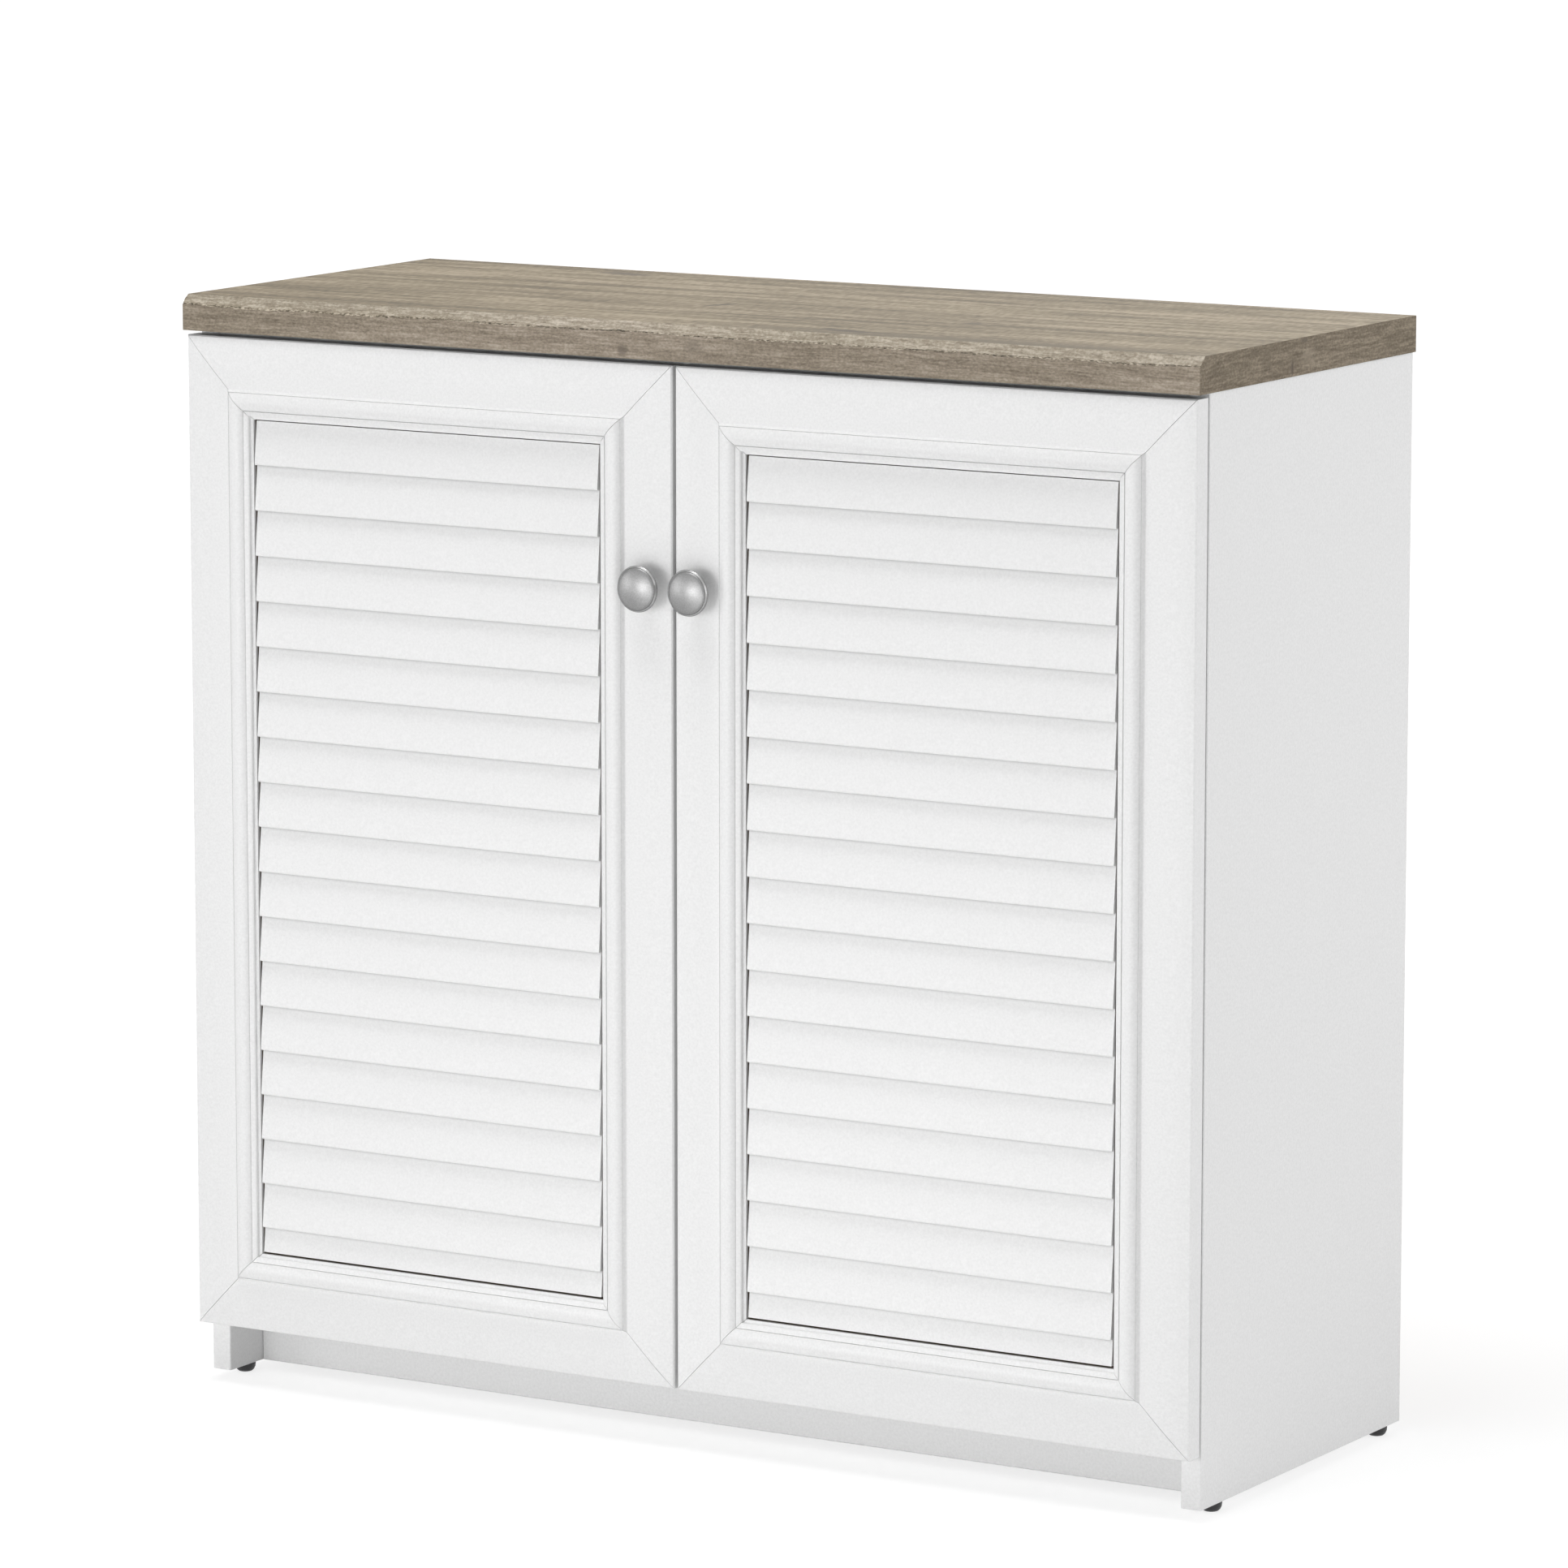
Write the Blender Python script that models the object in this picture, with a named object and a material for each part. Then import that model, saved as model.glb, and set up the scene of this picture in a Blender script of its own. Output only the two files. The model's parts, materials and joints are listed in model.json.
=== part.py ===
"""Two-door storage cabinet: white carcass, mitred and louvred doors, wood-look worktop.

Metres, +Z up. The doors face -Y, the floor is z = 0 and the origin lies under the middle of the
cabinet's bounding box.
"""

import math

import bmesh
import bpy
from mathutils import Vector

# Clearance between pieces that touch on the real cabinet
GAP = 0.0003

# Carcass
BODY_WIDTH = 0.8012
SIDE_DEPTH = 0.2955
SIDE_HEIGHT = 0.7490
BOARD = 0.0150
BOARD_EASE = 0.0006
REBATE_WIDTH = 0.0080
BACK_BOARD = 0.0030
BACK_RECESS = 0.0010
TOE_HEIGHT = 0.0400
TOE_SETBACK = 0.0403
RAIL_DEPTH = 0.0800

# Worktop
WORKTOP_THICKNESS = 0.0250
WORKTOP_SIDE_OVERHANG = 0.0024
WORKTOP_FRONT_OVERHANG = 0.0020
BEVEL_DEPTH = 0.0070
BEVEL_HEIGHT = 0.0073
HEWN_DEPTH = 0.0011
HEWN_LONG_WAVE = 0.1370
HEWN_SHORT_WAVE = 0.0410
HEWN_STEP = 0.0120

# Doors
DOOR_THICKNESS = 0.0146
DOOR_BACK_GAP = 0.0023
DOOR_TOP_GAP = 0.0030
DOOR_RISE = 0.0373
DOOR_CENTRE_GAP = 0.0026

# Section of the door frame, across the member from its outer edge inwards
FIELD_WIDTH = 0.0361
FIELD_RISE = 0.00316
FIELD_CROWN_POWER = 2.6
FIELD_STEPS = 8
COVE_WIDTH = 0.0016
COVE_RISE = 0.0025
COVE_CURVE_POWER = 1.6
COVE_STEPS = 4
QUIRK_WIDTH = 0.0004
QUIRK_DEPTH = 0.0005
BEAD_WIDTH = 0.0124
BEAD_TOP = 0.0083
BEAD_STEPS = 12
FILLET_WIDTH = 0.0039
FILLET_RISE = 0.0058
FILLET_FALL = 0.0009
LIP_WIDTH = 0.0021
LIP_RISE = 0.0021
LIP_FALL = 0.0006
EDGE_EASE = 0.0009
BACK_LIP = 0.0023
GROOVE_WIDTH = 0.0046
GROOVE_DEPTH = 0.0080

# Louvred panel
LOUVRE_PITCH = 0.03203
LOUVRE_TIP = 0.0032
LOUVRE_ROOT = -0.0002
LOUVRE_EDGE_EASE = 0.0009
LOUVRE_UNDERCUT = 0.0010
FIRST_SLAT = 0.0310
PANEL_SIDE_GAP = 0.0017
PANEL_TOP_GAP = 0.0009
PANEL_BOTTOM_GAP = 0.0017

# Knobs and their screws
KNOB_INSET = 0.0188
KNOB_DROP = 0.1519
KNOB_RADIUS = 0.0160
KNOB_DOME_RADIUS = 0.0149
KNOB_BASE_RADIUS = 0.0050
KNOB_NECK_RADIUS = 0.0042
KNOB_RIM_HEIGHT = 0.0117
KNOB_RIM_EDGE = 0.0008
KNOB_DOME_STEP = 0.0017
KNOB_DOME_RISE = 0.0028
KNOB_BORE_DEPTH = 0.0095
NECK_SHARES = (0, 0.25, 0.5, 0.75, 1)
DOME_SHARES = (0.97, 0.85, 0.7, 0.5, 0.3, 0.12)
SCREW_RADIUS = 0.0020
SCREW_HEAD_RADIUS = 0.0038
SCREW_HEAD_HEIGHT = 0.0022
SCREW_CROWN_SHARES = ((0.5, 1), (0.85, 0.8), (1, 0.35))
SCREW_GRIP = 0.0070

# Concealed hinges
HINGE_END_DISTANCE = 0.0950
AXIS_INSET = 0.0060
AXIS_DEPTH = 0.0097
CUP_RADIUS = 0.0175
CUP_WALL = 0.0005
CUP_LAND = 0.0029
CUP_DEPTH = 0.0126
CUP_FLOOR = 0.0007
FLANGE_RADIUS = 0.0183
FLANGE_THICKNESS = 0.0008
EAR_REACH = 0.0300
EAR_RADIUS = 0.0070
HINGE_PIN_RADIUS = 0.0007
HINGE_EYE_RADIUS = 0.0017
ARM_THICKNESS = 0.0018
HOOK_HEIGHT = 0.0050
HOOK_THICKNESS = 0.0014
ARM_HEIGHT = 0.0130
NECK_INSET = 0.0135
ARM_BEND_RADIUS = 0.0025
ARM_RUN = 0.0460
ARM_JOG = 0.0060
PLATE_THICKNESS = 0.0020
PLATE_REACH = 0.0260
PLATE_WIDTH = 0.0180
SPINE_HEIGHT = 0.0075
SPINE_WIDTH = 0.0120
SPINE_SETBACK = 0.0130
SPINE_LENGTH = 0.0400

# Shelves, shelf pins, glides and door bumpers
SHELF_SETBACK = 0.0180
SHELF_SIDE_GAP = 0.0010
SHELF_HOLE_RADIUS = 0.0025
SHELF_HOLE_DEPTH = 0.0100
SHELF_HOLE_PITCH = 0.0320
SHELF_HOLE_INSET = 0.0370
SHELF_HOLES_EACH_WAY = 1
LOWER_SHELF_SHARE = 0.335
UPPER_SHELF_SHARE = 0.668
PIN_COLLAR_RADIUS = 0.0040
PIN_COLLAR = 0.0012
PIN_REACH = 0.0070
GLIDE_RADIUS = 0.0075
GLIDE_HEIGHT = 0.0067
GLIDE_FOOT_RADIUS = 0.0035
GLIDE_RIM = 0.0010
FRONT_GLIDE_INSET = 0.0294
REAR_GLIDE_INSET = 0.0204
BUMPER_RADIUS = 0.0045
BUMPER_DOME = 0.0006
BUMPER_INSET = 0.0120

# How far a cutter runs past the surface that it opens
OVERRUN = 0.0020
# Vertices closer than this are one vertex
WELD = 0.000001
# Faces that meet at less than this angle are shaded as one smooth surface
SMOOTH_ANGLE = math.radians(32)
ROUND_STEPS = 32
SMALL_STEPS = 12
END_STEPS = 8
BEND_STEPS = 3

# Places worked out from the sizes above
BAND_WIDTH = COVE_WIDTH + QUIRK_WIDTH + BEAD_WIDTH + FILLET_WIDTH
MEMBER_WIDTH = FIELD_WIDTH + BAND_WIDTH + LIP_WIDTH
DOOR_FRONT = DOOR_BACK_GAP + DOOR_THICKNESS
DOOR_WIDTH = (BODY_WIDTH - DOOR_CENTRE_GAP) / 2
DOOR_HEIGHT = SIDE_HEIGHT + GAP - DOOR_TOP_GAP - DOOR_RISE
PANEL_BOTTOM_Z = GLIDE_HEIGHT + GAP
PANEL_TOP_Z = PANEL_BOTTOM_Z + SIDE_HEIGHT
FLOOR_Z = PANEL_BOTTOM_Z + TOE_HEIGHT + BOARD
DOOR_BOTTOM_Z = PANEL_BOTTOM_Z + DOOR_RISE
INNER_X = BODY_WIDTH / 2 - BOARD
BACKING_DEPTH = BACK_RECESS + BACK_BOARD
SECTION_BACK = -DOOR_THICKNESS
HINGE_HEIGHTS = {"lower": HINGE_END_DISTANCE, "upper": DOOR_HEIGHT - HINGE_END_DISTANCE}
SIDES = {"left": -1, "right": 1}


def field_height(across):
    """Height of the crowned flat of a frame member, this far in from its outer edge."""
    left = 1 - across / FIELD_WIDTH
    return FIELD_RISE * (1 - left**FIELD_CROWN_POWER)


KNOB_SEAT = field_height(KNOB_INSET + KNOB_BASE_RADIUS) + GAP
KNOB_HEIGHT = KNOB_RIM_HEIGHT + KNOB_DOME_STEP + KNOB_DOME_RISE
TOTAL_DEPTH = SIDE_DEPTH + DOOR_FRONT + KNOB_SEAT + KNOB_HEIGHT
BACK_Y = TOTAL_DEPTH / 2
FRONT_Y = BACK_Y - SIDE_DEPTH
DOOR_FACE_Y = FRONT_Y - DOOR_FRONT
DOOR_BACK_Y = FRONT_Y - DOOR_BACK_GAP
AXIS_Y = DOOR_BACK_Y - AXIS_DEPTH
AXIS_X = BODY_WIDTH / 2 - AXIS_INSET


def clear_scene():
    for obj in list(bpy.data.objects):
        bpy.data.objects.remove(obj, do_unlink=True)


def make_material(name, colour, roughness, metallic=0.0):
    material = bpy.data.materials.new(name)
    material.use_nodes = True
    shader = material.node_tree.nodes["Principled BSDF"]
    shader.inputs["Base Color"].default_value = (*colour, 1.0)
    shader.inputs["Roughness"].default_value = roughness
    shader.inputs["Metallic"].default_value = metallic
    return material


def finish_mesh(name, bm):
    """Turns a closed bmesh into a mesh with its faces out and its round faces smooth."""
    bmesh.ops.remove_doubles(bm, verts=bm.verts, dist=WELD)
    bmesh.ops.recalc_face_normals(bm, faces=bm.faces)
    mesh = bpy.data.meshes.new(name)
    bm.to_mesh(mesh)
    bm.free()
    mesh.shade_smooth()
    mesh.set_sharp_from_angle(angle=SMOOTH_ANGLE)
    return mesh


def add_piece(name, mesh, location, material, parent=None, turned_over=False):
    """Places a mesh in the world; turned_over swaps its left and right by half a turn about Y."""
    piece = bpy.data.objects.new(name, mesh)
    bpy.context.scene.collection.objects.link(piece)
    base = parent.location if parent else Vector((0, 0, 0))
    piece.location = Vector(location) - base
    if turned_over:
        piece.rotation_euler = (0, math.pi, 0)
    if parent:
        piece.parent = parent
    if material:
        piece.data.materials.clear()
        piece.data.materials.append(material)
    return piece


def add_axis(name, location):
    """An empty on a door's hinge axis, which carries the door's pieces."""
    axis = bpy.data.objects.new(name, None)
    bpy.context.scene.collection.objects.link(axis)
    axis.location = location
    return axis


def prism_mesh(name, outline, depth):
    """Closes an outline of 3-D points and pushes it along the depth vector."""
    bm = bmesh.new()
    face = bm.faces.new([bm.verts.new(point) for point in outline])
    pushed = bmesh.ops.extrude_face_region(bm, geom=[face])
    moved = [item for item in pushed["geom"] if isinstance(item, bmesh.types.BMVert)]
    bmesh.ops.translate(bm, verts=moved, vec=depth)
    return finish_mesh(name, bm)


def turned_mesh(name, profile, steps, axis):
    """Spins a profile of (radius, height) points, which starts and ends on the axis."""
    axis = Vector(axis)
    across = Vector((0, 0, 1)) if axis.z == 0 else Vector((1, 0, 0))
    bm = bmesh.new()
    ring = [bm.verts.new(across * radius + axis * height) for radius, height in profile]
    edges = [bm.edges.new(pair) for pair in zip(ring, ring[1:])]
    bmesh.ops.spin(
        bm, geom=ring + edges, cent=(0, 0, 0), axis=axis, angle=math.tau, steps=steps, use_merge=True
    )
    return finish_mesh(name, bm)


def cut(piece, cutter, operation="DIFFERENCE"):
    """Applies a hidden helper to a piece with a Boolean modifier."""
    cutter.hide_render = True
    cutter.display_type = "WIRE"
    modifier = piece.modifiers.new(cutter.name, "BOOLEAN")
    modifier.operation = operation
    modifier.solver = "EXACT"
    modifier.object = cutter


def bake(piece):
    """Returns the mesh that the modifiers of a piece make, and removes the piece and its helpers."""
    helpers = [modifier.object for modifier in piece.modifiers]
    depsgraph = bpy.context.evaluated_depsgraph_get()
    mesh = bpy.data.meshes.new_from_object(piece.evaluated_get(depsgraph))
    for obj in [piece, *helpers]:
        bpy.data.objects.remove(obj, do_unlink=True)
    mesh.shade_smooth()
    mesh.set_sharp_from_angle(angle=SMOOTH_ANGLE)
    return mesh


def arc(centre, radius, start, end, steps):
    """Points of an arc in a plane, from one angle to another in degrees."""
    angles = [math.radians(start + (end - start) * step / steps) for step in range(steps + 1)]
    return [
        (centre[0] + radius * math.cos(angle), centre[1] + radius * math.sin(angle))
        for angle in angles
    ]


def board_mesh(name, size):
    """A flat board centred on its origin, with its edges eased by a small bevel."""
    bm = bmesh.new()
    bmesh.ops.create_cube(bm, size=1)
    bmesh.ops.scale(bm, vec=size, verts=bm.verts)
    bmesh.ops.bevel(bm, geom=bm.edges, offset=BOARD_EASE, segments=1, affect="EDGES")
    return finish_mesh(name, bm)


def add_board(name, low, high, material):
    """A board that fills the box from its low corner to its high corner."""
    low, high = Vector(low), Vector(high)
    return add_piece(name, board_mesh(name, high - low), (low + high) / 2, material)


def add_worktop(material):
    """A solid top whose front upper edge is hewn to a wavy bevel along its whole length."""
    width = BODY_WIDTH + 2 * WORKTOP_SIDE_OVERHANG
    depth = SIDE_DEPTH + DOOR_FRONT + WORKTOP_FRONT_OVERHANG
    steps = round(width / HEWN_STEP)
    bm = bmesh.new()
    sections = []
    for step in range(steps + 1):
        x = width * (step / steps - 1 / 2)
        long_wave = math.sin(math.tau * x / HEWN_LONG_WAVE)
        short_wave = math.sin(math.tau * x / HEWN_SHORT_WAVE + long_wave)
        wave = HEWN_DEPTH * (long_wave + short_wave) / 2
        section = [
            (x, -depth, 0),
            (x, -depth, WORKTOP_THICKNESS - BEVEL_HEIGHT + wave),
            (x, -depth + BEVEL_DEPTH + wave / 2, WORKTOP_THICKNESS),
            (x, 0, WORKTOP_THICKNESS),
            (x, 0, 0),
        ]
        sections.append([bm.verts.new(point) for point in section])
    for near, far in zip(sections, sections[1:]):
        for index in range(len(near)):
            after = (index + 1) % len(near)
            bm.faces.new([near[index], near[after], far[after], far[index]])
    bm.faces.new(sections[0])
    bm.faces.new(sections[-1])
    mesh = finish_mesh("worktop", bm)
    add_piece("worktop", mesh, (0, BACK_Y, PANEL_TOP_Z + GAP), material)


def shelf_heights():
    """Underside of each adjustable shelf, as shares of the way up the inside."""
    inside = SIDE_HEIGHT - TOE_HEIGHT - BOARD
    return {
        "lower": FLOOR_Z + LOWER_SHELF_SHARE * inside,
        "upper": FLOOR_Z + UPPER_SHELF_SHARE * inside,
    }


def shelf_hole_rows():
    """The front and the rear distance of the two rows of shelf holes, from the panel's front."""
    shelf_rear = SIDE_DEPTH - BACKING_DEPTH
    return {"front": SHELF_SETBACK + SHELF_HOLE_INSET, "rear": shelf_rear - SHELF_HOLE_INSET}


def pin_height(shelf_z):
    return shelf_z - GAP - SHELF_HOLE_RADIUS


def side_hole_cutter(name, side):
    """One helper with every shelf-pin hole of a side panel."""
    bm = bmesh.new()
    for shelf_z in shelf_heights().values():
        for row in shelf_hole_rows().values():
            for count in range(-SHELF_HOLES_EACH_WAY, SHELF_HOLES_EACH_WAY + 1):
                made = bmesh.ops.create_cone(
                    bm,
                    cap_ends=True,
                    segments=SMALL_STEPS,
                    radius1=SHELF_HOLE_RADIUS,
                    radius2=SHELF_HOLE_RADIUS,
                    depth=SHELF_HOLE_DEPTH + OVERRUN,
                )
                verts = made["verts"]
                for vert in verts:
                    vert.co = Vector((vert.co.z, vert.co.x, vert.co.y))
                x = side * (INNER_X + (SHELF_HOLE_DEPTH - OVERRUN) / 2)
                z = pin_height(shelf_z) + count * SHELF_HOLE_PITCH
                bmesh.ops.translate(bm, verts=verts, vec=(x, FRONT_Y + row, z))
    return add_piece(name, finish_mesh(name, bm), (0, 0, 0), None)


def add_side_panel(side_name, material):
    """A side board with a rebate for the back board and rows of holes for the shelf pins."""
    side = SIDES[side_name]
    outer = side * BODY_WIDTH / 2
    inner = side * INNER_X
    rebate = inner + side * REBATE_WIDTH
    ease = side * BOARD_EASE
    step_y = BACK_Y - BACKING_DEPTH - GAP
    z = PANEL_BOTTOM_Z
    outline = [
        (inner, FRONT_Y + BOARD_EASE, z),
        (inner + ease, FRONT_Y, z),
        (outer - ease, FRONT_Y, z),
        (outer, FRONT_Y + BOARD_EASE, z),
        (outer, BACK_Y, z),
        (rebate, BACK_Y, z),
        (rebate, step_y, z),
        (inner, step_y, z),
    ]
    name = side_name + "_side_panel"
    panel = add_piece(name, prism_mesh(name, outline, (0, 0, SIDE_HEIGHT)), (0, 0, 0), material)
    cut(panel, side_hole_cutter(side_name + "_shelf_hole_cutter", side))


def add_carcass(material, backing):
    """The boards between the two side panels."""
    reach = INNER_X - GAP
    rear = BACK_Y - BACKING_DEPTH - 2 * GAP
    under = FLOOR_Z - BOARD
    top = PANEL_TOP_Z
    toe_front = FRONT_Y + TOE_SETBACK
    add_board("bottom_panel", (-reach, FRONT_Y, under), (reach, rear, FLOOR_Z), material)
    add_board(
        "toe_kick", (-reach, toe_front, PANEL_BOTTOM_Z), (reach, toe_front + BOARD, under - GAP), material
    )
    rail_low = top - BOARD
    rail_front = FRONT_Y + RAIL_DEPTH
    add_board("front_top_rail", (-reach, FRONT_Y, rail_low), (reach, rail_front, top), material)
    add_board("back_top_rail", (-reach, rear - RAIL_DEPTH, rail_low), (reach, rear, top), material)
    half = INNER_X + REBATE_WIDTH - GAP
    face = BACK_Y - BACK_RECESS
    corners = [(-half, face, under), (half, face, under), (half, face, top), (-half, face, top)]
    back = prism_mesh("back_panel", corners, (0, -BACK_BOARD, 0))
    add_piece("back_panel", back, (0, 0, 0), backing)


def shelf_pin_mesh():
    """A peg with a collar: one end fills its hole, and the shelf rests on the other."""
    peg = SHELF_HOLE_RADIUS - GAP
    profile = [
        (0, -SHELF_HOLE_DEPTH + GAP),
        (peg, -SHELF_HOLE_DEPTH + GAP),
        (peg, GAP),
        (PIN_COLLAR_RADIUS, GAP),
        (PIN_COLLAR_RADIUS, GAP + PIN_COLLAR),
        (SHELF_HOLE_RADIUS, GAP + PIN_COLLAR),
        (SHELF_HOLE_RADIUS, PIN_REACH),
        (0, PIN_REACH),
    ]
    return turned_mesh("shelf_pin", profile, SMALL_STEPS, (-1, 0, 0))


def add_shelves(material, pin_material):
    """Two adjustable shelves, each on four pins."""
    pin_mesh = shelf_pin_mesh()
    reach = INNER_X - SHELF_SIDE_GAP - PIN_COLLAR - GAP
    rear = BACK_Y - BACKING_DEPTH - SHELF_SIDE_GAP
    for level, z in shelf_heights().items():
        front = FRONT_Y + SHELF_SETBACK
        add_board(level + "_shelf", (-reach, front, z), (reach, rear, z + BOARD), material)
        for side_name, side in SIDES.items():
            for row_name, row in shelf_hole_rows().items():
                name = "_".join([level, "shelf_pin", row_name, side_name])
                place = (side * INNER_X, FRONT_Y + row, pin_height(z))
                add_piece(name, pin_mesh, place, pin_material, turned_over=side < 0)


def add_glides(material):
    """Domed plastic glides under the four corners of the side panels."""
    dome = GLIDE_HEIGHT - GLIDE_RIM
    spread = GLIDE_RADIUS - GLIDE_FOOT_RADIUS
    side_arc = [
        (GLIDE_FOOT_RADIUS + spread * x, dome * (1 + y)) for x, y in arc((0, 0), 1, -90, 0, 4)
    ]
    profile = [(0, 0), *side_arc, (GLIDE_RADIUS, GLIDE_HEIGHT), (0, GLIDE_HEIGHT)]
    mesh = turned_mesh("glide", profile, ROUND_STEPS, (0, 0, 1))
    places = {"front": FRONT_Y + FRONT_GLIDE_INSET, "rear": BACK_Y - REAR_GLIDE_INSET}
    for side_name, side in SIDES.items():
        for row_name, y in places.items():
            x = side * (BODY_WIDTH - BOARD) / 2
            add_piece("glide_" + row_name + "_" + side_name, mesh, (x, y, 0), material)


def frame_section():
    """Section of a door frame member as (inwards, forwards) points, once round."""
    groove_low = SECTION_BACK + BACK_LIP
    groove_high = groove_low + GROOVE_WIDTH
    groove_floor = MEMBER_WIDTH - GROOVE_DEPTH
    bead_out = FIELD_WIDTH + COVE_WIDTH + QUIRK_WIDTH
    bead_in = bead_out + BEAD_WIDTH
    step = bead_in + FILLET_WIDTH
    foot = FILLET_RISE - QUIRK_DEPTH
    half = BEAD_WIDTH / 2
    bead_rise = BEAD_TOP - foot
    radius = (half**2 + bead_rise**2) / (2 * bead_rise)
    turn = math.degrees(math.acos(half / radius))
    bead = arc((bead_out + half, BEAD_TOP - radius), radius, turn, 180 - turn, BEAD_STEPS)
    cove = [count / COVE_STEPS for count in range(COVE_STEPS, 0, -1)]
    field = [FIELD_WIDTH * (FIELD_STEPS - count) / FIELD_STEPS for count in range(FIELD_STEPS)]
    fillet_edge = FILLET_RISE - FILLET_FALL
    return [
        (0, SECTION_BACK),
        (MEMBER_WIDTH, SECTION_BACK),
        (MEMBER_WIDTH, groove_low),
        (groove_floor, groove_low),
        (groove_floor, groove_high),
        (MEMBER_WIDTH, groove_high),
        (MEMBER_WIDTH, LIP_RISE - LIP_FALL),
        (step, LIP_RISE),
        (step, fillet_edge - BOARD_EASE),
        (step - BOARD_EASE, fillet_edge),
        (bead_in + QUIRK_WIDTH, FILLET_RISE),
        *bead,
        *[
            (FIELD_WIDTH + COVE_WIDTH * share, FIELD_RISE + COVE_RISE * share**COVE_CURVE_POWER)
            for share in cove
        ],
        *[(across, field_height(across)) for across in field],
        (EDGE_EASE, field_height(EDGE_EASE)),
        (0, -EDGE_EASE),
    ]


def door_vector(side, across, up, forward):
    """Turns a distance in a door's plane, from its hinge edge, into a world vector."""
    return Vector((-side * across, -forward, up))


def door_place(side, across, up, forward=0):
    """World position of a point of a closed door."""
    corner = Vector((side * BODY_WIDTH / 2, DOOR_FACE_Y, DOOR_BOTTOM_Z))
    return corner + door_vector(side, across, up, forward)


def add_member(name, side, corner, along, inwards, length, material, axis):
    """One frame member: the section runs between two mitres, each cut back by half a gap."""
    mitre = GAP / math.sqrt(2)
    along, inwards = Vector(along), Vector(inwards)
    section = frame_section()
    bm = bmesh.new()
    ends = []
    for flip in (False, True):
        ring = []
        for across, forward in section:
            reach = length - across - mitre if flip else across + mitre
            flat = along * reach + inwards * across
            ring.append(bm.verts.new(door_vector(side, flat.x, flat.y, forward)))
        ends.append(ring)
    near, far = ends
    for index in range(len(section)):
        after = (index + 1) % len(section)
        bm.faces.new([near[index], near[after], far[after], far[index]])
    bm.faces.new(near)
    bm.faces.new(far)
    place = door_place(side, *corner)
    return add_piece(name, finish_mesh(name, bm), place, material, axis)


def pocket_cutter(name, place, radius, depth):
    """A hidden cylinder that opens the back of a closed door, as deep as given."""
    bm = bmesh.new()
    bmesh.ops.create_cone(
        bm,
        cap_ends=True,
        segments=ROUND_STEPS,
        radius1=radius,
        radius2=radius,
        depth=depth + OVERRUN,
    )
    for vert in bm.verts:
        vert.co = Vector((vert.co.x, vert.co.z, vert.co.y))
    centre = Vector(place) + Vector((0, (OVERRUN - depth) / 2, 0))
    return add_piece(name, finish_mesh(name, bm), centre, None)


def add_frame(side_name, material, axis):
    """The four mitred members of a door, drilled for the hinge cups and the knob screw."""
    side = SIDES[side_name]
    prefix = side_name + "_door_"
    hinge_stile = add_member(
        prefix + "hinge_stile", side, (0, 0), (0, 1), (1, 0), DOOR_HEIGHT, material, axis
    )
    knob_stile = add_member(
        prefix + "knob_stile", side, (DOOR_WIDTH, 0), (0, 1), (-1, 0), DOOR_HEIGHT, material, axis
    )
    add_member(prefix + "bottom_rail", side, (0, 0), (1, 0), (0, 1), DOOR_WIDTH, material, axis)
    add_member(prefix + "top_rail", side, (0, DOOR_HEIGHT), (1, 0), (0, -1), DOOR_WIDTH, material, axis)
    for level, height in HINGE_HEIGHTS.items():
        place = door_place(side, CUP_LAND + CUP_RADIUS, height, SECTION_BACK)
        name = prefix + level + "_cup_cutter"
        cut(hinge_stile, pocket_cutter(name, place, CUP_RADIUS + GAP, CUP_DEPTH + GAP))
    place = door_place(side, DOOR_WIDTH - KNOB_INSET, DOOR_HEIGHT - KNOB_DROP, SECTION_BACK)
    through = DOOR_THICKNESS + KNOB_SEAT + OVERRUN
    cut(knob_stile, pocket_cutter(prefix + "screw_cutter", place, SCREW_RADIUS + GAP, through))


def slat_face(below_top):
    """How far forward the louvred face stands, this far below the top of the panel."""
    along = (below_top - FIRST_SLAT) % LOUVRE_PITCH
    return LOUVRE_ROOT + LOUVRE_TIP * along / LOUVRE_PITCH


def louvre_outline(height):
    """Front of the panel as (below top, forwards) points: slats that lap like weatherboards."""
    tip = LOUVRE_ROOT + LOUVRE_TIP
    pocket = LOUVRE_ROOT - LOUVRE_TIP * LOUVRE_UNDERCUT / LOUVRE_PITCH
    points = [(0, slat_face(0))]
    edge = FIRST_SLAT
    while edge < height:
        points += [
            (edge - LOUVRE_EDGE_EASE, tip),
            (edge, tip - LOUVRE_EDGE_EASE),
            (edge - LOUVRE_UNDERCUT, pocket),
        ]
        edge += LOUVRE_PITCH
    points.append((height, slat_face(height)))
    return points


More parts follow.
